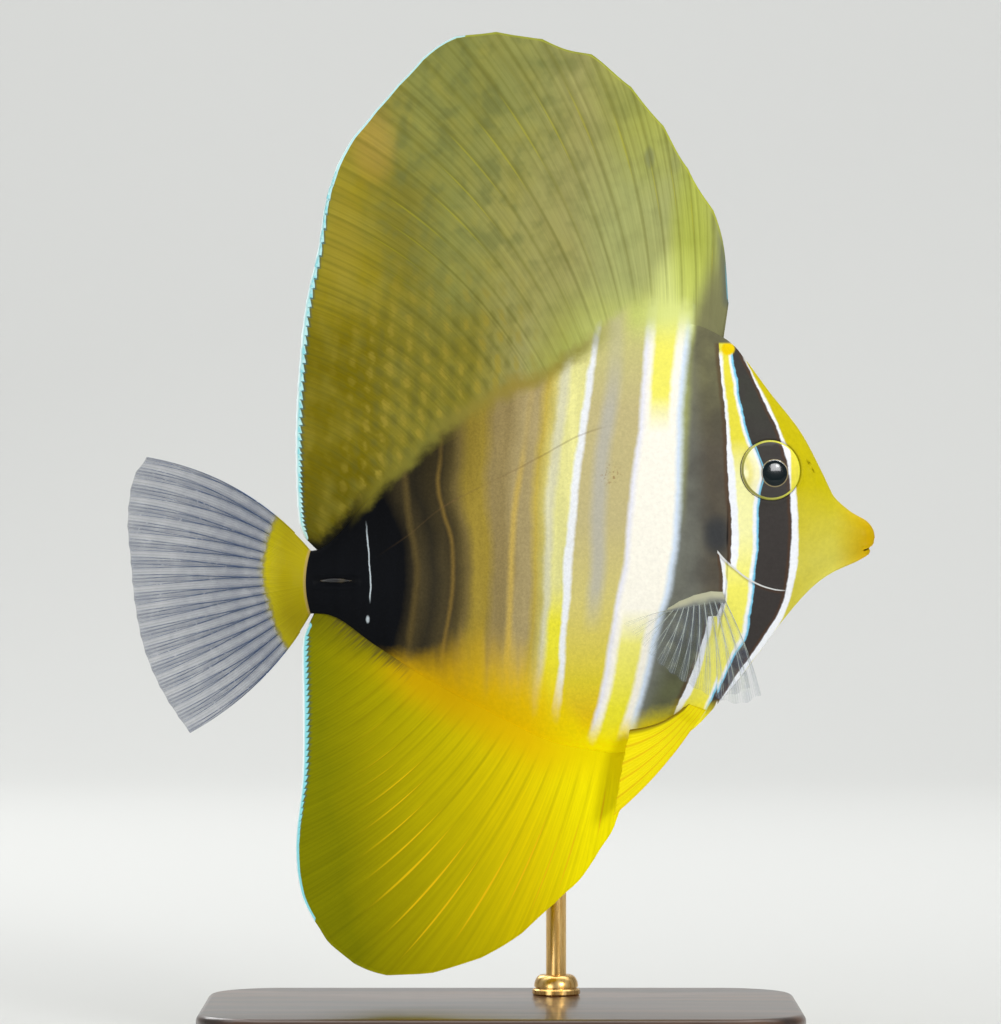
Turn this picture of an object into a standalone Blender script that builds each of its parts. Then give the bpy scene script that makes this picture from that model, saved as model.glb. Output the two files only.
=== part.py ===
# Juvenile sailfin tang, life size, swimming above a small display stand.
# The fish faces +X, its back is +Z and its right flank is -Y. The stand rests on Z = 0.
# Sizes below are in millimetres, measured from the middle of the fish's length (X) and from its body axis (Z).
import bpy
import bmesh
import math
import numpy as np
from mathutils import Vector

MM = 0.001
GAP = 0.3                  # kept between any two touching pieces

BASE_LENGTH = 64.0
BASE_WIDTH = 40.0
BASE_THICK = 5.0
BASE_CORNER = 8.0
BASE_CHAMFER = 0.8
FIN_CLEARANCE = 3.0        # from the stand's top up to the lowest edge of the anal fin
ANAL_FIN_DROP = 44.4       # from the body axis down to that edge
AXIS_HEIGHT = BASE_THICK + FIN_CLEARANCE + ANAL_FIN_DROP

ROD_RADIUS = 1.1
ROD_BEND = 4.0
ROD_X = 6.0
ROD_Y = 10.5               # the rod rises behind the fish and bends in to its left flank
ROD_CONTACT_Z = -1.5
COLLAR_RADIUS = 2.6
COLLAR_HEIGHT = 2.2
ROUND_SIDES = 20

# Outlines of the body seen from its side, as (x, z) from the snout back
BACK = [(40.0, 2.4), (39.8, 3.3), (39.1, 4.2), (37.4, 5.2), (35.8, 6.6), (35.1, 7.8), (34.2, 9.7),
        (32.0, 13.8), (28.8, 17.9), (26.2, 21.4), (24.4, 23.4), (21.3, 25.1), (18.1, 25.8), (14.9, 25.3),
        (10.6, 23.3), (6.3, 20.3), (-2.2, 15.0), (-10.8, 9.3), (-14.6, 6.1), (-17.2, 3.0), (-19.4, 1.2),
        (-21.5, 1.0)]
BELLY = [(40.0, 2.4), (39.6, 1.4), (39.2, 0.6), (38.2, -0.1), (35.2, -1.5), (32.8, -3.4), (29.9, -6.8),
         (26.1, -11.9), (22.1, -16.6), (19.7, -18.7), (16.5, -20.0), (12.7, -20.6), (10.6, -20.5),
         (5.2, -19.4), (-1.2, -16.4), (-7.6, -12.9), (-13.5, -9.1), (-17.8, -6.1), (-21.5, -5.7)]
GILL_LINE = [(24.3, 23.4), (23.9, 17.1), (24.1, 11.8), (24.3, 6.4), (24.2, 0.9), (23.9, -3.4),
             (23.0, -8.6), (21.7, -13.4), (21.0, -17.6)]
STALK_X = -13.5
TAIL_ROOT_X = -21.2
TAIL_ROOT_BULGE = 0.5      # the stalk's end is rounded, furthest back at its upper and lower edge

# Half widths seen from above, as (x, half width), and the level at which each cross section is widest
GIRTH = [(-21.5, 1.25), (-19.0, 1.4), (-15.0, 1.7), (-10.0, 2.25), (-5.0, 2.95), (0.0, 3.55), (5.0, 4.0),
         (10.0, 4.3), (15.0, 4.45), (20.0, 4.4), (24.0, 4.2), (27.0, 3.85), (29.5, 3.45), (31.5, 2.9),
         (33.5, 2.3), (35.5, 1.8), (37.5, 1.45), (39.0, 1.1), (39.7, 0.7), (40.0, 0.3)]
WIDEST_LEVEL = [(-21.5, -2.3), (-10.0, -2.0), (0.0, -1.5), (10.0, -1.0), (18.0, -1.0), (24.0, 1.5),
                (28.0, 6.0), (31.0, 5.0), (35.0, 2.4), (40.0, 2.4)]
# Roundness of the cross section towards its upper and lower edge: 0.5 is an ellipse, 1 a lens
BACK_TAPER = [(-21.5, 0.55), (-12.0, 0.8), (0.0, 0.9), (20.0, 0.9), (27.0, 0.62), (33.0, 0.5), (40.0, 0.5)]
BELLY_TAPER = [(-21.5, 0.55), (-12.0, 0.75), (0.0, 0.8), (12.0, 0.7), (20.0, 0.55), (40.0, 0.5)]
FIN_ROOT = 0.45            # half thickness of the dorsal and anal fin where they leave the body
KEEL = 0.2                 # half thickness of the body's edge where no fin grows
BACK_EDGE = [(-21.5, KEEL), (-19.6, FIN_ROOT), (24.0, FIN_ROOT), (26.5, KEEL), (40.0, KEEL)]
BELLY_EDGE = [(-21.5, KEEL), (-19.8, FIN_ROOT), (10.4, FIN_ROOT), (12.5, KEEL), (40.0, KEEL)]
GILL_FLARE = 0.35          # the gill cover's rear edge stands proud of the flank by this
GILL_FLARE_REACH = 4.5
GILL_TOP = 2.0
GILL_FOOT = -17.0
LIP_SWELL = 0.16
LIP_X = 38.9
LIP_REACH = 1.1

EYE_X, EYE_Z = 28.7, 9.6
EYE_RADIUS = 3.3
EYE_DOME = 1.25
EYE_SINK = 0.35            # from the skin in to the middle of the eye
MOUTH_X, MOUTH_Z = 39.2, 1.25
MOUTH_DEPTH = 1.7
MOUTH_GAPE = 0.34
MOUTH_SLANT = math.radians(-12)
NOSTRILS = [(32.7, 10.9, 0.24), (33.2, 10.0, 0.19)]    # x, z, radius
NOSTRIL_DEPTH = 0.45

SPINE_X, SPINE_Z = -17.6, -2.2      # the folded blade on each side of the tail stalk
SPINE_LENGTH = 3.4
SPINE_RADIUS = 0.42
SPINE_SINK = 0.12

HEAD_STATIONS = 22
TORSO_STATIONS = 22
STALK_STATIONS = 6
FLANK_STEPS = 16
EYE_SIDES = 22

COLOURS = {
    "yellow_skin": ((0.83, 0.66, 0.05), 0.42),
    "dark_skin": ((0.02, 0.02, 0.025), 0.45),
    "pale_skin": ((0.86, 0.82, 0.62), 0.42),
    "dorsal_membrane": ((0.45, 0.42, 0.08), 0.40),
    "anal_membrane": ((0.80, 0.68, 0.02), 0.40),
    "clear_membrane": ((0.62, 0.68, 0.70), 0.35),
    "eye": ((0.03, 0.03, 0.03), 0.08),
    "brass": ((0.72, 0.55, 0.26), 0.28),
    "dark_wood": ((0.10, 0.055, 0.03), 0.40),
}


# Lines and the body's surface

def smooth_line(points, steps=16):
    """Many points of a smooth line through the given ones."""
    p = np.array(points, float)
    p = np.vstack([2 * p[0] - p[1], p, 2 * p[-1] - p[-2]])
    t = np.linspace(0, 1, steps, endpoint=False)[:, None]
    spans = [0.5 * (2 * b + (c - a) * t + (2 * a - 5 * b + 4 * c - d) * t**2 + (3 * b - a - 3 * c + d) * t**3)
             for a, b, c, d in zip(p, p[1:], p[2:], p[3:])]
    return np.vstack(spans + [p[-2:-1]])


def at_share(line, shares):
    """The points that lie at these shares of the line's length."""
    steps = np.linalg.norm(np.diff(line, axis=0), axis=1)
    length = np.concatenate([[0.0], np.cumsum(steps)])
    wanted = np.asarray(shares) * length[-1]
    return np.column_stack([np.interp(wanted, length, column) for column in line.T])


def reader(points):
    """A function that reads the smooth line through these points at any x."""
    line = smooth_line(points)
    line = line[np.argsort(line[:, 0], kind="stable")]
    return lambda x: np.interp(x, line[:, 0], line[:, 1])


back_at = reader(BACK)
belly_at = reader(BELLY)
girth_at = reader(GIRTH)
level_at = reader(WIDEST_LEVEL)
gill_line = smooth_line(GILL_LINE)


def table(pairs, x):
    return np.interp(x, *zip(*sorted(pairs)))


def gill_x_at(z):
    return np.interp(z, gill_line[::-1, 1], gill_line[::-1, 0])


def half_width(x, z, flare=False):
    """Half the body's width at a point of its side view. flare adds the gill cover's raised edge."""
    x, z = np.asarray(x, float), np.asarray(z, float)
    level = level_at(x)
    up = np.clip((z - level) / (back_at(x) - level), 0, 1)
    down = np.clip((level - z) / (level - belly_at(x)), 0, 1)
    upper = (1 - up**2) ** table(BACK_TAPER, x)
    lower = (1 - down**2.2) ** table(BELLY_TAPER, x)
    edge = np.where(z > level, table(BACK_EDGE, x), table(BELLY_EDGE, x))
    width = edge + np.maximum(girth_at(x) - edge, 0) * np.where(z > level, upper, lower)
    lip = np.exp(-((x - LIP_X) / LIP_REACH) ** 2) * np.where(z > level, upper, lower)
    width = width + LIP_SWELL * lip
    if flare:
        near_edge = np.clip(1 - (x - gill_x_at(z)) / GILL_FLARE_REACH, 0, 1) ** 2
        span = np.clip((GILL_TOP - z) / 2.5, 0, 1) * np.clip((z - GILL_FOOT) / 4, 0, 1)
        width = width + GILL_FLARE * near_edge * span * (x > gill_x_at(z))
    return width


def flank_normal(x, z):
    """The right flank's outward direction at a point of its side view."""
    step = 0.4
    slope_x = (half_width(x + step, z) - half_width(x - step, z)) / (2 * step)
    slope_z = (half_width(x, z + step) - half_width(x, z - step)) / (2 * step)
    return Vector((-slope_x, -1.0, -slope_z)).normalized()


# Meshes and objects

def material(name):
    found = bpy.data.materials.get(name)
    if found:
        return found
    colour, roughness = COLOURS[name]
    made = bpy.data.materials.new(name)
    made.use_nodes = True
    shader = made.node_tree.nodes["Principled BSDF"]
    shader.inputs["Base Color"].default_value = (*colour, 1.0)
    shader.inputs["Roughness"].default_value = roughness
    shader.inputs["Metallic"].default_value = 1.0 if name == "brass" else 0.0
    made.diffuse_color = (*colour, 1.0)
    return made


def new_object(name, mesh, finish, parent, smooth=True):
    obj = bpy.data.objects.new(name, mesh)
    bpy.data.collections["sailfin_tang"].objects.link(obj)
    obj.data.materials.append(material(finish))
    obj.parent = parent
    if smooth:
        obj.data.shade_smooth()
        obj.data.set_sharp_from_angle(angle=math.radians(40))
    return obj


def slab_mesh(name, near, far):
    """A closed shell between two alike grids of points in millimetres: two faces and a rim."""
    rows, columns = near.shape[:2]
    shell = bmesh.new()
    sides = [[[shell.verts.new(Vector(point) * MM) for point in row] for row in grid] for grid in (near, far)]
    for i in range(rows - 1):
        for j in range(columns - 1):
            for side in sides:
                a, b, c, d = side[i][j], side[i + 1][j], side[i + 1][j + 1], side[i][j + 1]
                shell.faces.new((a, b, c))
                shell.faces.new((a, c, d))
    rim = [(i, 0) for i in range(rows)] + [(rows - 1, j) for j in range(1, columns)]
    rim += [(i, columns - 1) for i in range(rows - 2, -1, -1)] + [(0, j) for j in range(columns - 2, 0, -1)]
    for (i, j), (k, m) in zip(rim, rim[1:] + rim[:1]):
        shell.faces.new((sides[0][i][j], sides[0][k][m], sides[1][k][m], sides[1][i][j]))
    bmesh.ops.recalc_face_normals(shell, faces=shell.faces)
    mesh = bpy.data.meshes.new(name)
    shell.to_mesh(mesh)
    shell.free()
    return mesh


def mesh_from(shape, name):
    mesh = bpy.data.meshes.new(name)
    shape.to_mesh(mesh)
    shape.free()
    return mesh


def cutter(name, shape):
    obj = bpy.data.objects.new(name, mesh_from(shape, name))
    obj.display_type = "WIRE"
    obj.hide_render = True
    return obj


def keep_largest(obj):
    """Drops any loose scrap that a Boolean leaves beside the main shell."""
    shell = bmesh.new()
    shell.from_mesh(obj.data)
    left, shells = set(shell.faces), []
    while left:
        group, edge = set(), [left.pop()]
        while edge:
            face = edge.pop()
            group.add(face)
            beside = {f for e in face.edges for f in e.link_faces} & left
            left -= beside
            edge += beside
        shells.append(group)
    shells.sort(key=len)
    bmesh.ops.delete(shell, geom=[f for group in shells[:-1] for f in group], context="FACES")
    shell.to_mesh(obj.data)
    shell.free()


def combine(obj, pieces, operation, tools_name):
    """Joins the pieces to obj, or cuts them from it, in one Boolean that is applied."""
    tools = bpy.data.collections.new(tools_name)
    bpy.context.scene.collection.children.link(tools)
    for piece in pieces:
        tools.objects.link(piece)
    boolean = obj.modifiers.new(tools_name, "BOOLEAN")
    boolean.operation = operation
    boolean.operand_type = "COLLECTION"
    boolean.collection = tools
    boolean.solver = "EXACT"
    bpy.context.view_layer.update()
    graph = bpy.context.evaluated_depsgraph_get()
    done = bpy.data.meshes.new_from_object(obj.evaluated_get(graph))
    obj.modifiers.clear()
    obj.data = done
    for piece in pieces:
        bpy.data.objects.remove(piece)
    bpy.data.collections.remove(tools)
    keep_largest(obj)


# The body, parted at the gill line and at the tail stalk

def gill_station(share):
    """x of the gill line at this share of the height, from belly to back."""
    return at_share(gill_line, 1 - share)[:, 0]


def tail_root_station(share):
    return TAIL_ROOT_X + TAIL_ROOT_BULGE * (2 * share - 1) ** 2


def body_part(name, front, rear, stations, finish, parent, crowd_front=1.0, flare=False):
    """One length of the body, lofted between two station lines, each a function of the height's share."""
    share = 0.5 - 0.5 * np.cos(np.linspace(0, math.pi, FLANK_STEPS + 1))
    near = []
    for step in np.linspace(0, 1, stations + 1) ** crowd_front:
        x = front(share) * (1 - step) + rear(share) * step
        low, high = belly_at(x[0]), back_at(x[-1])
        z = np.clip(low + (high - low) * share, belly_at(x), back_at(x))
        near.append(np.column_stack([x, -half_width(x, z, flare), z + AXIS_HEIGHT]))
    near = np.array(near)
    return new_object(name, slab_mesh(name, near, near * (1, -1, 1)), finish, parent)


def flattened_ball(radius, depth, place, outward):
    """A ball pressed to this depth along its outward direction."""
    ball = bmesh.new()
    bmesh.ops.create_uvsphere(ball, u_segments=EYE_SIDES, v_segments=EYE_SIDES // 2, radius=1.0)
    bmesh.ops.scale(ball, vec=Vector((radius, radius, depth)) * MM, verts=ball.verts)
    turn = outward.to_track_quat("Z", "X").to_matrix()
    bmesh.ops.rotate(ball, matrix=turn, verts=ball.verts)
    bmesh.ops.translate(ball, vec=Vector(place) * MM, verts=ball.verts)
    return ball


def eye_place(side):
    """Middle of the eye and its outward direction. side is -1 for the right eye and 1 for the left."""
    outward = flank_normal(EYE_X, EYE_Z)
    outward.y *= -side
    skin = Vector((EYE_X, side * float(half_width(EYE_X, EYE_Z)), EYE_Z + AXIS_HEIGHT))
    return skin - outward * EYE_SINK, outward


def nostril_cutter(side, x, z, radius):
    pit = bmesh.new()
    bmesh.ops.create_cone(pit, cap_ends=True, segments=10, radius1=radius * MM, radius2=radius * MM * 0.8,
                          depth=2 * NOSTRIL_DEPTH * MM)
    outward = flank_normal(x, z)
    outward.y *= -side
    bmesh.ops.rotate(pit, matrix=outward.to_track_quat("Z", "X").to_matrix(), verts=pit.verts)
    skin = Vector((x, side * float(half_width(x, z)), z + AXIS_HEIGHT))
    bmesh.ops.translate(pit, vec=skin * MM, verts=pit.verts)
    return cutter("nostril_cut", pit)


def mouth_cutter():
    """A thin wedge that opens the line of the mouth between the lips."""
    slit = bmesh.new()
    bmesh.ops.create_cube(slit, size=1.0)
    for vert in slit.verts:
        inner = vert.co.x < 0
        vert.co.x *= 2 * MOUTH_DEPTH
        vert.co.z *= MOUTH_GAPE * (0.75 if inner else 1.5)
        vert.co.y *= 4.0 if inner else 5.0
    bmesh.ops.rotate(slit, matrix=Vector((1, 0, 0)).rotation_difference(
        Vector((math.cos(MOUTH_SLANT), 0, math.sin(MOUTH_SLANT)))).to_matrix(), verts=slit.verts)
    bmesh.ops.translate(slit, vec=(MOUTH_X, 0, MOUTH_Z + AXIS_HEIGHT), verts=slit.verts)
    bmesh.ops.scale(slit, vec=(MM, MM, MM), verts=slit.verts)
    return cutter("mouth_cut", slit)


def make_head(parent):
    head = body_part("head", lambda q: 39.9 + 0 * q, lambda q: gill_station(q) + GAP / 2,
                     HEAD_STATIONS, "yellow_skin", parent, crowd_front=1.6, flare=True)
    cutters = [mouth_cutter()]
    for side in (-1, 1):
        place, outward = eye_place(side)
        cutters.append(cutter("socket_cut", flattened_ball(
            EYE_RADIUS + GAP, EYE_DOME + GAP, place, outward)))
        cutters += [nostril_cutter(side, *nostril) for nostril in NOSTRILS]
    combine(head, cutters, "DIFFERENCE", "head_cutters")


def make_eyes(parent):
    for side, name in ((-1, "eye_right"), (1, "eye_left")):
        place, outward = eye_place(side)
        new_object(name, mesh_from(flattened_ball(EYE_RADIUS, EYE_DOME, place, outward), name), "eye", parent)


def make_torso(parent):
    body_part("torso", lambda q: gill_station(q) - GAP / 2, lambda q: STALK_X + GAP / 2 + 0 * q,
              TORSO_STATIONS, "pale_skin", parent)


def tail_blade(side):
    """The folded spine on the side of the tail stalk, its point forwards."""
    blade = bmesh.new()
    bmesh.ops.create_cone(blade, cap_ends=True, segments=8, radius1=SPINE_RADIUS * MM,
                          radius2=SPINE_RADIUS * MM * 0.15, depth=SPINE_LENGTH * MM)
    bmesh.ops.rotate(blade, matrix=Vector((0, 0, 1)).rotation_difference(Vector((1, 0, 0))).to_matrix(),
                     verts=blade.verts)
    skin_y = float(half_width(SPINE_X, SPINE_Z)) - SPINE_SINK
    bmesh.ops.translate(blade, vec=Vector((SPINE_X, side * skin_y, SPINE_Z + AXIS_HEIGHT)) * MM,
                        verts=blade.verts)
    return bpy.data.objects.new("tail_blade", mesh_from(blade, "tail_blade"))


def make_tail_stalk(parent):
    stalk = body_part("tail_stalk", lambda q: STALK_X - GAP / 2 + 0 * q, tail_root_station,
                      STALK_STATIONS, "dark_skin", parent)
    combine(stalk, [tail_blade(-1), tail_blade(1)], "UNION", "blades")


# Fins: a membrane with its rays raised as ridges in its own surface

ROOT_TAPER = 0.12          # share of a ray over which the fin thins from its root
TIP_TAPER = 0.7            # from this share outwards it thins towards its tip
RAY_FOOT = 0.22            # a ridge's half width, counted in rays


def ray_columns(rays):
    """Places across a fin, counted in rays, and which of them are crests."""
    places, crests = [], []
    for ray in range(rays):
        for offset, crest in ((-RAY_FOOT, 0), (0, 1), (RAY_FOOT, 0)):
            place = ray + offset
            if 0 <= place <= rays - 1:
                places.append(place)
                crests.append(crest)
    return np.array(places) / (rays - 1), np.array(crests)


def fin_surface(roots, tips, bow, rows):
    """Grid of points from each root to its tip. bow is the sideways vector of each ray's bend."""
    v = np.linspace(0, 1, rows + 1)[None, :, None]
    middle = (roots + tips) / 2 + bow * 2
    return (1 - v) ** 2 * roots[:, None] + 2 * v * (1 - v) * middle[:, None] + v**2 * tips[:, None]


def surface_normals(grid):
    normals = np.cross(np.gradient(grid, axis=0), np.gradient(grid, axis=1))
    return normals / np.linalg.norm(normals, axis=2, keepdims=True)


def fin_halves(grid, crests, root_half, membrane, ridge, normals):
    """The fin's two faces. membrane and ridge are half thicknesses at the root and at the tip."""
    v = np.linspace(0, 1, grid.shape[1])[None, :]
    thick = membrane[0] + (membrane[1] - membrane[0]) * np.clip((v - TIP_TAPER) / (1 - TIP_TAPER), 0, 1)
    thick = thick + crests[:, None] * (ridge[0] + (ridge[1] - ridge[0]) * v)
    blend = np.clip(v / ROOT_TAPER, 0, 1)
    thick = np.asarray(root_half)[:, None] * (1 - blend) + thick * blend
    offset = normals * thick[..., None]
    return grid + offset, grid - offset


def flat_to_space(points):
    """Side-view points as points of the middle plane, lifted to the body's height."""
    return np.column_stack([points[:, 0], np.zeros(len(points)), points[:, 1] + AXIS_HEIGHT])


def across(vectors):
    """Side-view vectors turned a quarter turn towards the head."""
    return np.column_stack([vectors[:, 1], -vectors[:, 0]])


def median_fin(name, finish, parent, roots, margin, root_shares, tip_shares, rays, rows, bows,
               root_half, membrane, ridge, tip_reach, sway):
    """A fin in the fish's middle plane. The share tables map the rays' places to the root and the margin."""
    place, crests = ray_columns(rays)
    root = at_share(roots, table(root_shares, place))
    tip = at_share(margin, table(tip_shares, place))
    ray = tip - root
    tip = tip + crests[:, None] * tip_reach * ray / np.linalg.norm(ray, axis=1)[:, None]
    bow = across(ray) * table(bows, place)[:, None]
    bow = np.column_stack([bow[:, 0], 0 * place, bow[:, 1]])
    grid = fin_surface(flat_to_space(root), flat_to_space(tip), bow, rows)
    v = np.linspace(0, 1, rows + 1)[None, :]
    grid[..., 1] += sway[0] * v**2 * np.sin(sway[1] * math.pi * place[:, None] + sway[2])
    normals = np.zeros_like(grid)
    normals[..., 1] = -1.0
    near, far = fin_halves(grid, crests, root_half(root), membrane, ridge, normals)
    return new_object(name, slab_mesh(name, near, far), finish, parent)


DORSAL_MARGIN = [(24.2, 24.2), (24.3, 27.8), (23.9, 33.7), (22.6, 37.6), (20.2, 41.5), (17.4, 46.4),
                 (14.0, 50.5), (10.4, 53.7), (6.3, 55.1), (2.0, 56.3), (-2.8, 56.4), (-6.5, 55.3),
                 (-10.0, 52.0), (-13.8, 47.7), (-16.7, 43.9), (-18.6, 39.1), (-19.6, 33.2), (-20.9, 27.3),
                 (-21.6, 20.9), (-22.0, 13.4), (-21.8, 5.3), (-21.1, 2.6), (-20.0, 1.7)]
DORSAL_RAYS = 34
DORSAL_ROOT_SPAN = (24.0, -19.3)
DORSAL_TIP_SHARES = [(0.0, 0.03), (0.03, 0.12), (0.1, 0.23), (0.2, 0.395), (0.28, 0.5), (0.4, 0.63),
                     (0.57, 0.755), (0.78, 0.866), (1.0, 0.99)]
DORSAL_BOW = [(0.0, 0.0), (0.15, 0.05), (0.45, 0.09), (0.8, 0.07), (1.0, 0.0)]

ANAL_MARGIN = [(11.2, -21.4), (12.4, -25.7), (11.9, -29.1), (10.6, -31.0), (8.5, -34.2), (6.3, -36.2),
               (2.0, -40.1), (-1.2, -42.1), (-5.5, -43.7), (-9.7, -44.4), (-14.0, -44.0), (-17.8, -41.5),
               (-19.6, -39.1), (-21.1, -36.4), (-21.8, -33.2), (-21.9, -29.4), (-21.3, -23.5),
               (-21.2, -17.1), (-21.3, -9.6), (-20.9, -7.6), (-20.1, -6.3)]
ANAL_RAYS = 26
ANAL_ROOT_SPAN = (10.4, -19.5)
ANAL_TIP_SHARES = [(0.0, 0.06), (0.05, 0.2), (0.1, 0.305), (0.2, 0.46), (0.3, 0.58), (0.5, 0.73),
                   (0.7, 0.85), (1.0, 0.99)]
ANAL_BOW = [(0.0, 0.02), (0.3, -0.06), (0.6, -0.07), (1.0, 0.0)]

TAIL_MARGIN = [(-37.9, 11.0), (-39.4, 8.6), (-40.0, 4.3), (-39.7, 0.0), (-39.3, -4.3), (-38.5, -8.6),
               (-37.3, -12.0), (-35.6, -15.2), (-33.3, -18.5)]
TAIL_RAYS = 17


def body_edge(profile_at, span, rise):
    """The body's edge between two x, moved out by rise at right angles to it."""
    x = np.linspace(*span, 160)
    edge = np.column_stack([x, profile_at(x)])
    tangent = np.gradient(edge, axis=0)
    tangent /= np.linalg.norm(tangent, axis=1)[:, None]
    return edge + across(tangent) * rise


def make_dorsal_fin(parent):
    roots = body_edge(back_at, DORSAL_ROOT_SPAN, GAP)
    median_fin("dorsal_fin", "dorsal_membrane", parent, roots, smooth_line(DORSAL_MARGIN),
               [(0, 0), (1, 1)], DORSAL_TIP_SHARES, DORSAL_RAYS, 8, DORSAL_BOW,
               lambda root: np.full(len(root), FIN_ROOT), (0.27, 0.16), (0.18, 0.06), 0.18, (0.7, 2.4, 0.4))


def make_anal_fin(parent):
    roots = body_edge(belly_at, ANAL_ROOT_SPAN, -GAP)
    median_fin("anal_fin", "anal_membrane", parent, roots, smooth_line(ANAL_MARGIN),
               [(0, 0), (1, 1)], ANAL_TIP_SHARES, ANAL_RAYS, 7, ANAL_BOW,
               lambda root: np.full(len(root), FIN_ROOT), (0.27, 0.16), (0.18, 0.06), 0.15, (0.5, 2.0, 2.4))


def make_tail_fin(parent):
    share = np.linspace(1, 0, 40)
    root_x = tail_root_station(share)
    low, high = belly_at(root_x[-1]), back_at(root_x[0])
    roots = np.column_stack([root_x - GAP, low + (high - low) * share])
    median_fin("tail_fin", "clear_membrane", parent, roots, smooth_line(TAIL_MARGIN),
               [(0, 0), (1, 1)], [(0, 0), (1, 1)], TAIL_RAYS, 8, [(0, 0.09), (0.25, 0.03), (0.75, -0.02), (1, -0.07)],
               lambda root: half_width(root[:, 0] + GAP, root[:, 1]), (0.27, 0.15), (0.14, 0.05), 0.1,
               (0.9, 1.0, 0.0))


# Paired fins, given for the right side. y counts outwards from the flank.
PECTORAL_ROOT = [(23.3, -3.3), (18.2, -5.2)]
PECTORAL_TIPS = [(27.2, 8.6, -14.0), (24.8, 9.0, -14.9), (20.9, 8.0, -13.6), (16.8, 6.2, -10.9), (13.0, 3.6, -6.6)]
PECTORAL_RAYS = 13
PELVIC_ROOT = [(21.6, -15.9), (19.9, -15.4)]
PELVIC_TIPS = [(12.0, 1.5, -27.1), (12.4, 1.4, -24.8), (12.8, 1.2, -22.3), (13.2, 1.0, -20.2), (13.7, 0.9, -18.0)]
PELVIC_RAYS = 6


def paired_fin(name, finish, parent, side, root_line, tip_line, rays, rows, bow, root_half, membrane, ridge):
    """A fin that grows from one flank, its root face lying on the flank across the usual gap."""
    place, crests = ray_columns(rays)
    root = at_share(np.array(root_line), place)
    out = half_width(root[:, 0], root[:, 1]) + GAP
    roots = np.column_stack([root[:, 0], out, root[:, 1]])
    tips = at_share(smooth_line(tip_line), place)
    tips[:, 1] += out
    grid = fin_surface(roots, tips, np.outer(np.ones(len(place)), bow), rows)
    clear = half_width(grid[..., 0], grid[..., 2], flare=True) + GAP + membrane[0] + ridge[0] + 0.15
    grid[:, 1:, 1] = np.maximum(grid[:, 1:, 1], clear[:, 1:])
    normals = surface_normals(grid)
    along_flank = normals[:, 0] * (1, 0, 1)
    normals[:, 0] = along_flank / np.linalg.norm(along_flank, axis=1, keepdims=True)
    near, far = fin_halves(grid, crests, np.full(len(place), root_half), membrane, ridge, normals)
    for face in (near, far):
        face[:, 0, 1] = half_width(face[:, 0, 0], face[:, 0, 2]) + GAP
        face[..., 1] *= side
        face[..., 2] += AXIS_HEIGHT
    return new_object(name, slab_mesh(name, near, far), finish, parent)


def make_paired_fins(parent):
    for side, word in ((-1, "right"), (1, "left")):
        paired_fin("pectoral_fin_" + word, "clear_membrane", parent, side, PECTORAL_ROOT, PECTORAL_TIPS,
                   PECTORAL_RAYS, 6, (0.3, 0.5, 0.2), 0.4, (0.25, 0.14), (0.13, 0.05))
        paired_fin("pelvic_fin_" + word, "yellow_skin", parent, side, PELVIC_ROOT, PELVIC_TIPS,
                   PELVIC_RAYS, 7, (0.4, 0.2, -0.5), 0.4, (0.26, 0.16), (0.16, 0.06))


# The stand

def make_base(parent):
    slab = bmesh.new()
    bmesh.ops.create_cube(slab, size=1.0)
    bmesh.ops.scale(slab, vec=Vector((BASE_LENGTH, BASE_WIDTH, BASE_THICK)) * MM, verts=slab.verts)
    bmesh.ops.translate(slab, vec=(0, 0, BASE_THICK / 2 * MM), verts=slab.verts)
    corners = [e for e in slab.edges if abs(e.verts[0].co.z - e.verts[1].co.z) > BASE_THICK / 2 * MM]
    bmesh.ops.bevel(slab, geom=corners, offset=BASE_CORNER * MM, segments=6, affect="EDGES", profile=0.5)
    top = [e for e in slab.edges if min(v.co.z for v in e.verts) > (BASE_THICK - 0.01) * MM]
    bmesh.ops.bevel(slab, geom=top, offset=BASE_CHAMFER * MM, segments=2, affect="EDGES", profile=0.5)
    new_object("stand_base", mesh_from(slab, "stand_base"), "dark_wood", parent)


def rod_route():
    """Up from the base behind the fish, round one bend, and in to the left flank."""
    contact = float(half_width(ROD_X, ROD_CONTACT_Z)) + GAP
    top = ROD_CONTACT_Z + AXIS_HEIGHT
    angles = np.linspace(0, math.pi / 2, 9)
    bend = [(ROD_Y - ROD_BEND * (1 - math.cos(a)), top - ROD_BEND * (1 - math.sin(a))) for a in angles]
    return [(ROD_Y, BASE_THICK + GAP)] + bend + [(contact, top)]


def make_rod(parent):
    curve = bpy.data.curves.new("stand_rod", "CURVE")
    curve.dimensions = "3D"
    curve.bevel_depth = ROD_RADIUS * MM
    curve.bevel_resolution = 4
    curve.use_fill_caps = True
    route = rod_route()
    spline = curve.splines.new("POLY")
    spline.points.add(len(route) - 1)
    for point, (y, z) in zip(spline.points, route):
        point.co = (ROD_X * MM, y * MM, z * MM, 1)
    rod = bpy.data.objects.new("stand_rod", curve)
    bpy.data.collections["sailfin_tang"].objects.link(rod)
    curve.materials.append(material("brass"))
    rod.parent = parent


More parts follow.
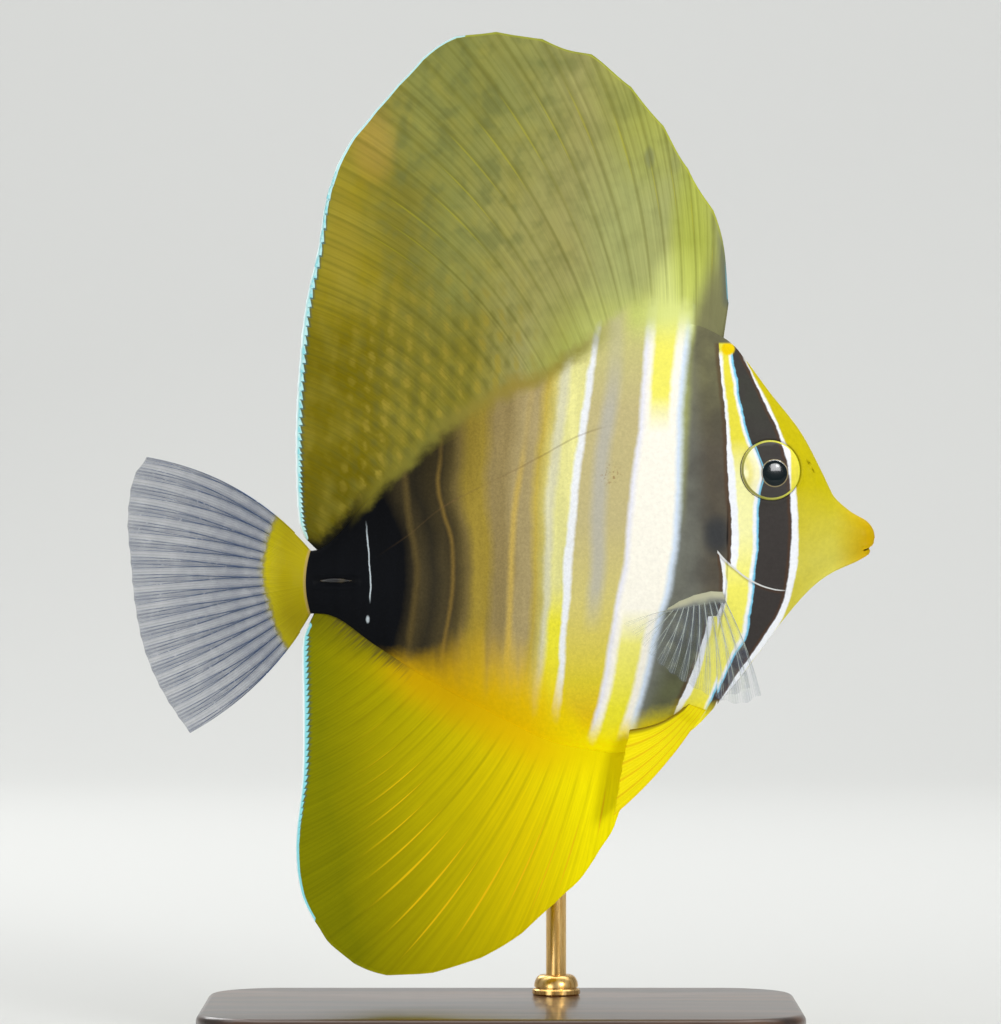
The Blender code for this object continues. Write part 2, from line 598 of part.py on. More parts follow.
def make_collar(parent):
    """A turned ring round the rod's foot."""
    inner, outer, foot = ROD_RADIUS + GAP, COLLAR_RADIUS, BASE_THICK + GAP
    profile = [(outer, foot + COLLAR_HEIGHT * 0.55), (outer, foot), (inner, foot),
               (inner, foot + COLLAR_HEIGHT), (outer - 0.7, foot + COLLAR_HEIGHT)]
    ring = bpy.data.meshes.new("stand_collar")
    ring.from_pydata([(x * MM, 0, z * MM) for x, z in profile], [(i, (i + 1) % 5) for i in range(5)], [])
    collar = new_object("stand_collar", ring, "brass", parent, smooth=False)
    collar.location = (ROD_X * MM, ROD_Y * MM, 0)
    turn = collar.modifiers.new("turn", "SCREW")
    turn.steps = turn.render_steps = ROUND_SIDES
    turn.use_merge_vertices = True
    turn.merge_threshold = 0.00001


def main():
    for obj in list(bpy.data.objects):
        bpy.data.objects.remove(obj)
    collection = bpy.data.collections.new("sailfin_tang")
    bpy.context.scene.collection.children.link(collection)
    fish = bpy.data.objects.new("fish", None)
    stand = bpy.data.objects.new("stand", None)
    for empty in (fish, stand):
        collection.objects.link(empty)
    make_head(fish)
    make_eyes(fish)
    make_torso(fish)
    make_tail_stalk(fish)
    make_dorsal_fin(fish)
    make_anal_fin(fish)
    make_tail_fin(fish)
    make_paired_fins(fish)
    make_base(stand)
    make_rod(stand)
    make_collar(stand)


main()
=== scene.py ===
import math

import bpy
import numpy as np
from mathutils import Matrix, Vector


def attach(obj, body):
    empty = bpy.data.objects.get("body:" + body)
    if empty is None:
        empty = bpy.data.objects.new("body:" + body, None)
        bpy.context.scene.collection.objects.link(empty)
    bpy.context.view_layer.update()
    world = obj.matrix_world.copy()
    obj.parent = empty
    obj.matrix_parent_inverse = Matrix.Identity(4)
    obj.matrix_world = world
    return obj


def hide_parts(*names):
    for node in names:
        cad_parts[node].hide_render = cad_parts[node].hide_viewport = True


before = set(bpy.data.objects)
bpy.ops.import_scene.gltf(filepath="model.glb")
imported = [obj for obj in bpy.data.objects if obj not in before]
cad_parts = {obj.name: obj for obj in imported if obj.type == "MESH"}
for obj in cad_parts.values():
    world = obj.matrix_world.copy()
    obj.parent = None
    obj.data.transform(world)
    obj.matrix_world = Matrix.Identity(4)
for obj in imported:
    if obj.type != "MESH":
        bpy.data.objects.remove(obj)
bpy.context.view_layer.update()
print("frame loaded:", len(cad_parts), "nodes")

mm = 0.001
stand = {
    "baseLength": 64.0, "baseWidth": 40.0, "baseThick": 5.0, "baseCorner": 8.0, "baseRound": 0.8,
    "finClearance": 3.0, "finDrop": 44.4,
    "rodRadius": 1.1, "rodBend": 4.0, "rodX": 6.0, "rodY": 10.5, "rodMeets": -1.5,
    "collarRadius": 2.6, "collarHeight": 2.2, "sides": 64,
}
axisHeight = stand["baseThick"] + stand["finClearance"] + stand["finDrop"]
camera = {"distance": 0.6, "level": 5.1}  # metres from the fish, and millimetres over its axis

# Lines and readings

def smoothLine(points, steps=16):
    # a smooth line through the given points
    p = np.array(points, float)
    p = np.vstack([2 * p[0] - p[1], p, 2 * p[-1] - p[-2]])
    t = np.linspace(0, 1, steps, endpoint=False)[:, None]
    spans = [0.5 * (2 * b + (c - a) * t + (2 * a - 5 * b + 4 * c - d) * t**2 + (3 * b - a - 3 * c + d) * t**3)
             for a, b, c, d in zip(p, p[1:], p[2:], p[3:])]
    return np.vstack(spans + [p[-2:-1]])


def atShare(line, shares):
    steps = np.linalg.norm(np.diff(line, axis=0), axis=1)
    length = np.concatenate([[0.0], np.cumsum(steps)])
    wanted = np.asarray(shares) * length[-1]
    return np.column_stack([np.interp(wanted, length, column) for column in line.T])


def readerOf(points):
    line = smoothLine(points)
    line = line[np.argsort(line[:, 0], kind="stable")]
    return lambda x: np.interp(x, line[:, 0], line[:, 1])


def tableAt(pairs, x):
    return np.interp(x, *zip(*sorted(pairs)))


def smoothStep(value, low, high):
    t = np.clip((value - low) / (high - low), 0, 1)
    return t * t * (3 - 2 * t)


def lineGap(x, z, points):
    # distance from each place to a line, and the share of the line that lies nearest
    best = np.full(np.shape(x), 1e9)
    share = np.zeros(np.shape(x))
    p = np.array(points, float)
    for k, ((ax, az), (bx, bz)) in enumerate(zip(p, p[1:])):
        length = (bx - ax)**2 + (bz - az)**2
        t = np.clip(((x - ax) * (bx - ax) + (z - az) * (bz - az)) / length, 0, 1)
        gap = np.hypot(x - ax - t * (bx - ax), z - az - t * (bz - az))
        nearer = gap < best
        best = np.where(nearer, gap, best)
        share = np.where(nearer, (k + t) / (len(p) - 1), share)
    return best, share


# The body, from the same outlines as the frame's nodes
body = {
    "back": [(40.0, 2.4), (39.8, 3.3), (39.1, 4.2), (37.4, 5.2), (35.8, 6.6), (35.1, 7.8), (34.2, 9.7),
             (32.0, 13.8), (28.8, 17.9), (26.2, 21.4), (24.4, 23.4), (21.3, 25.1), (18.1, 25.8),
             (14.9, 25.3), (10.6, 23.3), (6.3, 20.3), (-2.2, 15.0), (-10.8, 9.3), (-14.6, 6.1),
             (-17.2, 3.0), (-19.4, 1.2), (-21.5, 1.0)],
    "belly": [(40.0, 2.4), (39.6, 1.4), (39.2, 0.6), (38.2, -0.1), (35.2, -1.5), (32.8, -3.4),
              (29.9, -6.8), (26.1, -11.9), (22.1, -16.6), (19.7, -18.7), (16.5, -20.0), (12.7, -20.6),
              (10.6, -20.5), (5.2, -19.4), (-1.2, -16.4), (-7.6, -12.9), (-13.5, -9.1), (-17.8, -6.1),
              (-21.5, -5.7)],
    "gillLine": [(24.3, 23.4), (23.9, 17.1), (24.1, 11.8), (24.3, 6.4), (24.2, 0.9), (23.9, -3.4),
                 (23.0, -8.6), (21.7, -13.4), (21.0, -17.6)],
    "girth": [(-21.5, 1.25), (-19.0, 1.4), (-15.0, 1.7), (-10.0, 2.25), (-5.0, 2.95), (0.0, 3.55),
              (5.0, 4.0), (10.0, 4.3), (15.0, 4.45), (20.0, 4.4), (24.0, 4.2), (27.0, 3.85), (29.5, 3.45),
              (31.5, 2.9), (33.5, 2.3), (35.5, 1.8), (37.5, 1.45), (39.0, 1.1), (39.7, 0.7), (40.0, 0.3)],
    "widestLevel": [(-21.5, -2.3), (-10.0, -2.0), (0.0, -1.5), (10.0, -1.0), (18.0, -1.0), (24.0, 1.5),
                    (28.0, 6.0), (31.0, 5.0), (35.0, 2.4), (40.0, 2.4)],
    "backTaper": [(-21.5, 0.55), (-12.0, 0.8), (0.0, 0.9), (20.0, 0.9), (27.0, 0.62), (33.0, 0.5),
                  (40.0, 0.5)],
    "bellyTaper": [(-21.5, 0.55), (-12.0, 0.75), (0.0, 0.8), (12.0, 0.7), (20.0, 0.55), (40.0, 0.5)],
    "backEdge": [(-21.5, 0.2), (-19.6, 0.45), (24.0, 0.45), (26.5, 0.2), (40.0, 0.2)],
    "bellyEdge": [(-21.5, 0.2), (-19.8, 0.45), (13.6, 0.45), (15.2, 0.2), (40.0, 0.2)],
    "backRound": [(-21.5, 0.2), (-19.6, 0.1), (23.8, 0.1), (26.0, 0.2), (40.0, 0.2)],
    "bellyRound": [(-21.5, 0.2), (-19.8, 0.1), (13.4, 0.1), (15.2, 0.2), (40.0, 0.2)],
    "stalkX": -13.5, "tailRootX": -21.2, "tailRootBulge": 0.5,
    "snoutX": 39.97, "snoutLevel": 2.4,
    "headStations": 100, "torsoStations": 92, "stalkStations": 26, "flankSteps": 186,
    "evenShare": 0.4, "snoutCrowding": 1.35,
}
gill = {
    "flare": 0.35, "reach": 4.5, "top": 2.0, "foot": -10.0, "slitFoot": 0.4, "slitBack": 0.2,
    "slitWidth": 0.11, "slitDepth": 0.13,
    "stepStations": [0.42, 0.28, 0.18, 0.1, 0.04, -0.02, -0.08, -0.15, -0.24, -0.36, -0.5],
    "fold": [(23.12, 0.93), (24.0, -0.05), (24.92, -0.85), (26.64, -2.14), (28.93, -3.08), (30.66, -3.28)],
    "foldHeight": 0.13, "foldWidth": 0.2, "foldStep": 0.07,
}
face = {
    "eyeX": 28.7, "eyeZ": 9.6, "eyeRadius": 3.3, "eyeDome": 1.25, "eyeSink": 0.35,
    "socketDepth": 0.75, "rimHeight": 0.1, "rimWidth": 0.22,
    "mouth": [(39.9, 1.42), (39.1, 1.12), (38.5, 1.0)], "mouthDepth": 0.38, "mouthWidth": 0.1,
    "lipX": 38.9, "lipReach": 1.1, "lipSwell": 0.16, "lipRidge": 0.1,
    "nostrils": [(32.8, 10.4, 0.17), (33.25, 9.6, 0.13)],
    # the skull under the skin: a brow before the eye and a groove from the mouth, with height and width
    "skull": [([(31.6, 12.8), (34.0, 8.4), (37.4, 4.2)], 0.12, 0.8),
              ([(36.2, 3.6), (33.2, 1.4), (30.6, -0.9)], -0.1, 0.7)],
}
lateralLine = [(22.6, 15.4), (18.0, 15.3), (13.9, 14.8), (9.1, 13.6), (4.1, 11.0), (0.1, 8.9),
               (-2.2, 7.8), (-6.3, 5.6), (-10.0, 2.6), (-13.5, 0.2), (-15.4, -1.2)]
blade = {"x": -17.6, "z": -2.2, "length": 3.4, "radius": 0.42, "taper": 0.62, "sink": 0.14, "sheath": 0.16}

backAt, bellyAt = readerOf(body["back"]), readerOf(body["belly"])
girthAt, levelAt = readerOf(body["girth"]), readerOf(body["widestLevel"])
gillCurve = smoothLine(body["gillLine"])


def gillXAt(z):
    return np.interp(z, gillCurve[::-1, 1], gillCurve[::-1, 0])


def plainWidth(x, z, rounded=True):
    # half the body's width at a place of its side view; its upper and lower edges are rounded off
    x, z = np.asarray(x, float), np.asarray(z, float)
    level, top, foot = levelAt(x), backAt(x), bellyAt(x)
    up = np.clip((z - level) / (top - level), 0, 1)
    down = np.clip((level - z) / (level - foot), 0, 1)
    above = z > level
    full = np.where(above, (1 - up**2) ** tableAt(body["backTaper"], x),
                    (1 - down**2.2) ** tableAt(body["bellyTaper"], x))
    edge = np.where(above, tableAt(body["backEdge"], x), tableAt(body["bellyEdge"], x))
    lip = face["lipSwell"] * np.exp(-((x - face["lipX"]) / face["lipReach"])**2)
    inner = np.maximum(girthAt(x) - edge, 0) * full + lip * full
    if rounded:
        soft = np.where(above, tableAt(body["backRound"], x), tableAt(body["bellyRound"], x))
        fromEdge = np.clip(np.where(above, top - z, z - foot) / soft, 0, 1)
        edge = edge * np.sqrt(1 - (1 - fromEdge)**2)
    return edge + inner


def flare(x, z):
    past = x - gillXAt(z)
    near = np.clip(1 - past / gill["reach"], 0, 1)**2
    span = smoothStep(gill["top"] - z, 0, 2.5) * smoothStep(z - gill["foot"], 0, 4)
    return gill["flare"] * near * span * smoothStep(past, -0.14, 0.03)


def relief(x, z):
    # what stands proud of the plain flank, or is sunk in it, in millimetres, and how much painted shade
    # darkens it where it lies deep in a hollow
    raised = flare(x, z)
    hollowShade = np.zeros(np.shape(x))
    past = x - gillXAt(z)
    slit = (np.exp(-((past + gill["slitBack"]) / gill["slitWidth"])**2) * smoothStep(gill["top"] - z, -9, 1)
            * smoothStep(z - gill["slitFoot"], 0, 2))
    raised = raised - gill["slitDepth"] * slit
    # painted shade deep in the gill slit
    hollowShade = np.maximum(hollowShade, 0.9 * slit)
    gap, share = lineGap(x, z, gill["fold"])
    ends = smoothStep(share, -0.02, 0.06) * smoothStep(1 - share, 0, 0.12)
    raised = raised + gill["foldHeight"] * np.exp(-(gap / gill["foldWidth"])**2) * ends
    under, _ = lineGap(x, z + 0.32, gill["fold"])
    raised = raised - gill["foldStep"] * np.exp(-(under / 0.2)**2) * ends
    gap, share = lineGap(x, z, lateralLine)
    raised = raised - 0.05 * np.exp(-(gap / 0.2)**2) * smoothStep(1 - share, 0, 0.1)
    gap, share = lineGap(x, z, pectoral["root"])
    raised = raised + pectoral["swell"] * np.exp(-(gap / pectoral["swellWidth"])**2)
    eyeGap = np.hypot(x - face["eyeX"], z - face["eyeZ"])
    socket = smoothStep(face["eyeRadius"] - eyeGap, 0.02, 0.5)
    rim = np.exp(-((eyeGap - face["eyeRadius"] - 0.16) / face["rimWidth"])**2)
    raised = raised - face["socketDepth"] * socket + face["rimHeight"] * rim
    # painted shade in the eye socket
    hollowShade = np.maximum(hollowShade, 0.8 * socket)
    for nx, nz, radius in face["nostrils"]:
        gap = np.hypot(x - nx, z - nz)
        raised = (raised + 0.07 * np.exp(-((gap - radius - 0.12) / 0.1)**2)
                  - 0.4 * smoothStep(radius - gap, -0.06, 0.12))
        # painted shade in each nostril
        hollowShade = np.maximum(hollowShade, 0.34 * smoothStep(radius - gap, -0.06, 0.1))
    gap, share = lineGap(x, z, [(blade["x"] - 1.9, blade["z"]), (blade["x"] + 1.9, blade["z"])])
    raised = raised - blade["sheath"] * np.exp(-(gap / 0.5)**2)
    raised = raised + 0.07 * np.exp(-((gap - 0.75) / 0.25)**2)
    # painted shade in the groove of the blade's sheath
    hollowShade = np.maximum(hollowShade, 0.5 * np.exp(-(gap / 0.4)**2))
    for line, height, wide in face["skull"]:
        gap, share = lineGap(x, z, line)
        ends = smoothStep(share, 0, 0.2), smoothStep(1 - share, 0, 0.3)
        raised = raised + height * np.exp(-(gap / wide)**2) * ends[0] * ends[1]
    return raised, hollowShade


def flankNormal(x, z):
    # outward direction of the right flank
    step = 0.4
    slopeX = (plainWidth(x + step, z, False) - plainWidth(x - step, z, False)) / (2 * step)
    slopeZ = (plainWidth(x, z + step, False) - plainWidth(x, z - step, False)) / (2 * step)
    return Vector((-float(slopeX), -1.0, -float(slopeZ))).normalized()


# Meshes and pieces

def meshFrom(name, points, faces, values=None):
    # a smooth mesh from points in millimetres over the floor; values are point attributes
    mesh = bpy.data.meshes.new(name)
    mesh.from_pydata((np.asarray(points) * mm).tolist(), [], [list(map(int, f)) for f in faces])
    for key, column in (values or {}).items():
        mesh.attributes.new(key, "FLOAT", "POINT").data.foreach_set(
            "value", np.asarray(column, np.float32).ravel())
    mesh.validate()
    mesh.shade_smooth()
    return mesh


def addPiece(name, mesh, finish, replaced=()):
    piece = bpy.data.objects.new(name, mesh)
    bpy.context.scene.collection.objects.link(piece)
    mesh.materials.clear()
    mesh.materials.append(finish)
    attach(piece, "root")
    if replaced:
        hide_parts(*replaced)
    return piece


def gridFaces(rows, columns, start=0, wrap=False):
    # quads of a grid of points; with wrap the last column joins the first
    i, j = np.meshgrid(np.arange(rows - 1), np.arange(columns if wrap else columns - 1), indexing="ij")
    k = (j + 1) % columns
    quads = np.stack([i * columns + j, i * columns + k, (i + 1) * columns + k, (i + 1) * columns + j],
                     axis=-1)
    return (quads.reshape(-1, 4) + start).tolist()


def cappedFaces(rows, columns):
    # a tube of quads, closed by a fan at each end round the two points that follow its grid
    faces = gridFaces(rows, columns, wrap=True)
    first, last = rows * columns, (rows - 1) * columns
    for j in range(columns):
        k = (j + 1) % columns
        faces += [(first, k, j), (first + 1, last + j, last + k)]
    return faces


# Node trees

class Wire:
    # a node's output, used like a number: each sum or product becomes a math node beside it
    def __init__(self, socket):
        self.socket = socket

    def __abs__(self):
        return mathOf("ABSOLUTE", self)


for word, sign in (("add", "ADD"), ("sub", "SUBTRACT"), ("mul", "MULTIPLY"), ("truediv", "DIVIDE"),
                   ("pow", "POWER")):
    setattr(Wire, f"__{word}__", lambda self, other, sign=sign: mathOf(sign, self, other))
    setattr(Wire, f"__r{word}__", lambda self, other, sign=sign: mathOf(sign, other, self))


def addNode(tree, kind, **settings):
    node = tree.nodes.new(kind)
    for key, value in settings.items():
        setattr(node, key, value)
    return node


def plug(source, socket):
    # a wire is linked; a tone's name or a plain value is set
    if isinstance(source, Wire):
        socket.id_data.links.new(source.socket, socket)
    else:
        socket.default_value = tone(source) if isinstance(source, str) else source


def stepOf(kind, plugs, out=0, **settings):
    # a node fed through its sockets, in the tree of the first wire among them, and the wire that leaves it
    tree = next(source.socket.id_data for source in plugs.values() if isinstance(source, Wire))
    node = addNode(tree, kind, **settings)
    for key, source in plugs.items():
        plug(source, node.inputs[key])
    return Wire(node.outputs[out])


def mathOf(operation, *values, clamp=False):
    return stepOf("ShaderNodeMath", dict(enumerate(values)), operation=operation, use_clamp=clamp)


def ranged(value, low, high, toLow=0.0, toHigh=1.0, smooth=True):
    plugs = dict(enumerate((value, low, high, toLow, toHigh)))
    return stepOf("ShaderNodeMapRange", plugs, interpolation_type="SMOOTHSTEP" if smooth else "LINEAR")


def curveOf(value, points, span, reach):
    # reads a line given by its points: value runs over span, and the result over reach
    read = stepOf("ShaderNodeFloatCurve", {"Value": ranged(value, *span, smooth=False)})
    mapping = read.socket.node.mapping
    scaled = sorted(((p - span[0]) / (span[1] - span[0]), (q - reach[0]) / (reach[1] - reach[0]))
                    for p, q in points)
    mapping.curves[0].points[0].location, mapping.curves[0].points[1].location = scaled[0], scaled[-1]
    for place in scaled[1:-1]:
        mapping.curves[0].points.new(*place)
    mapping.update()
    return ranged(read, 0.0, 1.0, *reach, smooth=False)


def mixed(factor, a, b, blend="MIX"):
    return stepOf("ShaderNodeMix", {0: factor, 6: a, 7: b}, 2, data_type="RGBA", blend_type=blend)


def rampOf(value, stops, low, high):
    # stops are (value, tone name or number); the value runs from low to high
    read = stepOf("ShaderNodeValToRGB", {0: ranged(value, low, high, smooth=False)})
    elements = read.socket.node.color_ramp.elements
    while len(elements) < len(stops):
        elements.new(0.5)
    for element, (at, shade) in zip(elements, stops):
        element.position = (at - low) / (high - low)
    for element, (at, shade) in zip(elements, stops):
        element.color = tone(shade) if isinstance(shade, str) else (shade, shade, shade, 1.0)
    return read


def stretched(vector, scale):
    return stepOf("ShaderNodeMapping", {"Vector": vector, "Scale": scale})


def noiseOf(vector, scale, detail=3.0, roughness=0.5, stretch=None):
    vector = stretched(vector, stretch) if stretch else vector
    return stepOf("ShaderNodeTexNoise", {"Vector": vector, "Scale": scale, "Detail": detail,
                                         "Roughness": roughness})


def axesOf(vector):
    return [Wire(socket) for socket in stepOf("ShaderNodeSeparateXYZ", {0: vector}).socket.node.outputs]


def spotMask(x, z, centre, wide, tall):
    return ranged(((x - centre[0]) / wide) ** 2.0 + ((z - centre[1]) / tall) ** 2.0, 0.0, 1.5, 1.0, 0.0)


def gapTo(x, z, centre):
    return mathOf("SQRT", (x - centre[0]) ** 2.0 + (z - centre[1]) ** 2.0)


def shaded(mask, colour, factor):
    # darkens a colour by a factor where the mask is set
    return mixed(mask, colour, mixed(1.0, colour, (factor, factor, factor, 1.0), "MULTIPLY"))


def grained(colour, noise, low, high):
    # varies a colour with a noise, from darker by low to brighter by high
    return mixed(1.0, colour, ranged(noise, 0.3, 0.7, low, high, False), "MULTIPLY")


def newGroup(name, inputs, outputs, kind="ShaderNodeTree"):
    # a node group with named sockets: the group, the wires it is given, and the node that its result goes to
    group = bpy.data.node_groups.new(name, kind)
    for sockets, way in ((inputs, "INPUT"), (outputs, "OUTPUT")):
        for key, word in sockets:
            group.interface.new_socket(name=key, in_out=way, socket_type="NodeSocket" + word)
    given = group.nodes.new("NodeGroupInput")
    return group, {socket.name: Wire(socket) for socket in given.outputs}, group.nodes.new("NodeGroupOutput")


def placeGroup(group, **values):
    node = stepOf("ShaderNodeGroup", values, node_tree=group).socket.node
    return {socket.name: Wire(socket) for socket in node.outputs}


def newFinish(name, roughness=0.45, coat=0.0, coatRoughness=0.12, metallic=0.0, specular=0.5):
    finish = bpy.data.materials.new(name)
    finish.use_nodes = True
    tree = finish.node_tree
    shader = tree.nodes["Principled BSDF"]
    for key, value in (("Roughness", roughness), ("Coat Weight", coat), ("Coat Roughness", coatRoughness),
                       ("Metallic", metallic), ("Specular IOR Level", specular)):
        shader.inputs[key].default_value = value
    place = Wire(addNode(tree, "ShaderNodeTexCoord").outputs["Object"])
    return finish, tree, shader, place


def bumped(shader, height, distance, strength=1.0):
    plug(stepOf("ShaderNodeBump", {"Strength": strength, "Distance": distance, "Height": height}),
         shader.inputs["Normal"])


# Tones, as (red, green, blue) of the screen, named after where they are on the fish

tones = {
    "snout": (208, 199, 82), "snoutDeep": (198, 184, 12), "snoutTip": (198, 156, 2),
    "whiteLine": (240, 243, 248), "whiteCool": (236, 239, 242), "cyanRim": (126, 200, 230),
    "eyeBar": (62, 58, 56), "eyeBarTop": (64, 66, 58), "brownRimAndFoldShade": (84, 58, 40),
    "cream": (244, 242, 172), "bandYellow": (242, 236, 104), "bandYellowDeep": (228, 218, 66),
    "cap": (232, 200, 0), "barTwo": (90, 84, 72), "barTwoPale": (118, 121, 112),
    "barTwoTop": (118, 116, 84), "barTwoLow": (100, 103, 74), "barCornerShade": (44, 50, 58),
    "leafLine": (170, 176, 104), "skyLine": (212, 226, 242), "wideBand": (250, 246, 232),
    "wideYellow": (242, 238, 142), "wideGold": (238, 230, 52), "lavender": (222, 224, 244),
    "tan": (194, 182, 130), "tanWarm": (210, 198, 120), "tanGold": (220, 203, 52),
    "greyBlue": (182, 180, 170), "tanTop": (200, 194, 128), "speck": (140, 92, 48),
    "thirdYellow": (228, 224, 148), "thirdGold": (234, 226, 58), "pale": (212, 209, 172),
    "straw": (200, 188, 108), "ochreLight": (190, 168, 76), "mauve": (172, 155, 108),
    "mauveMid": (149, 131, 84), "mauveDeep": (118, 102, 56), "brown": (90, 78, 44),
    "orangeLine": (196, 168, 84), "orangeFaint": (126, 102, 48), "ochreDeep": (154, 133, 52),
    "umber": (70, 61, 38), "umberDeep": (50, 45, 32), "umberLine": (88, 74, 40),
    "lateral": (112, 88, 54), "black": (10, 12, 16), "hairLine": (214, 226, 232),
    "frontRim": (112, 168, 184), "gold": (232, 192, 2), "goldDeep": (208, 166, 2),
    "goldBelly": (250, 234, 2), "olive": (128, 124, 52), "oliveWarm": (150, 132, 54),
    "foldHighlightTone": (220, 222, 220), "paintedShade": (14, 12, 10), "finLime": (196, 204, 112),
    "finFront": (164, 168, 82), "finTop": (150, 150, 84), "finMid": (150, 147, 82),
    "finGrey": (108, 114, 64), "finOrange": (158, 143, 54), "finLow": (118, 106, 8),
    "finLowDark": (62, 60, 12), "finRay": (100, 98, 28), "finStreak": (204, 196, 40),
    "finEdge": (186, 192, 60), "finSmoke": (92, 98, 88), "finTan": (158, 142, 52),
    "finBlotch": (98, 98, 44), "finGreen": (136, 138, 72), "finPale": (166, 170, 106),
    "finSand": (158, 154, 94), "finRust": (150, 136, 32), "finMoss": (128, 120, 40),
    "rimCyan": (146, 222, 230), "rimPale": (198, 240, 240), "rimWhite": (240, 252, 252),
    "notch": (24, 76, 84), "finBright": (218, 226, 138), "finAcid": (178, 188, 58),
    "finAmber": (184, 152, 76), "finWarm": (160, 150, 62), "analWarm": (226, 204, 2),
    "analFront": (250, 236, 2), "analMid": (192, 178, 2), "analRear": (158, 150, 2),
    "analLow": (130, 130, 2), "analStreak": (238, 196, 16), "analOrange": (232, 176, 8),
    "tailYellow": (184, 168, 2), "tailYellowPale": (196, 182, 8), "tailSlate": (82, 104, 146),
    "tailSlatePale": (122, 138, 166), "tailDeep": (66, 80, 106), "tailSlateDark": (88, 100, 124),
    "tailRootHighlight": (206, 170, 140), "clearFilm": (120, 134, 158), "finBone": (196, 204, 190),
    "pectoralBase": (196, 194, 162), "pelvic": (248, 230, 2), "pelvicEdgeShadow": (110, 86, 10),
    "eyeRing": (188, 188, 84), "eyeRingLit": (236, 232, 64), "pupil": (2, 18, 22),
    "pupilRing": (150, 136, 96), "irisCream": (252, 247, 196), "irisYellow": (238, 226, 74),
    "wood": (66, 42, 28), "woodDark": (34, 21, 14), "woodLight": (104, 70, 44), "brass": (206, 160, 84),
    "brassWorn": (232, 196, 130), "studio": (196, 197, 195),
}


def tone(name):
    # screen colour as the renderer's linear one
    channels = np.array(tones[name]) / 255
    linear = np.where(channels <= 0.04045, channels / 12.92, ((channels + 0.055) / 1.055)**2.4)
    return (*linear.tolist(), 1.0)


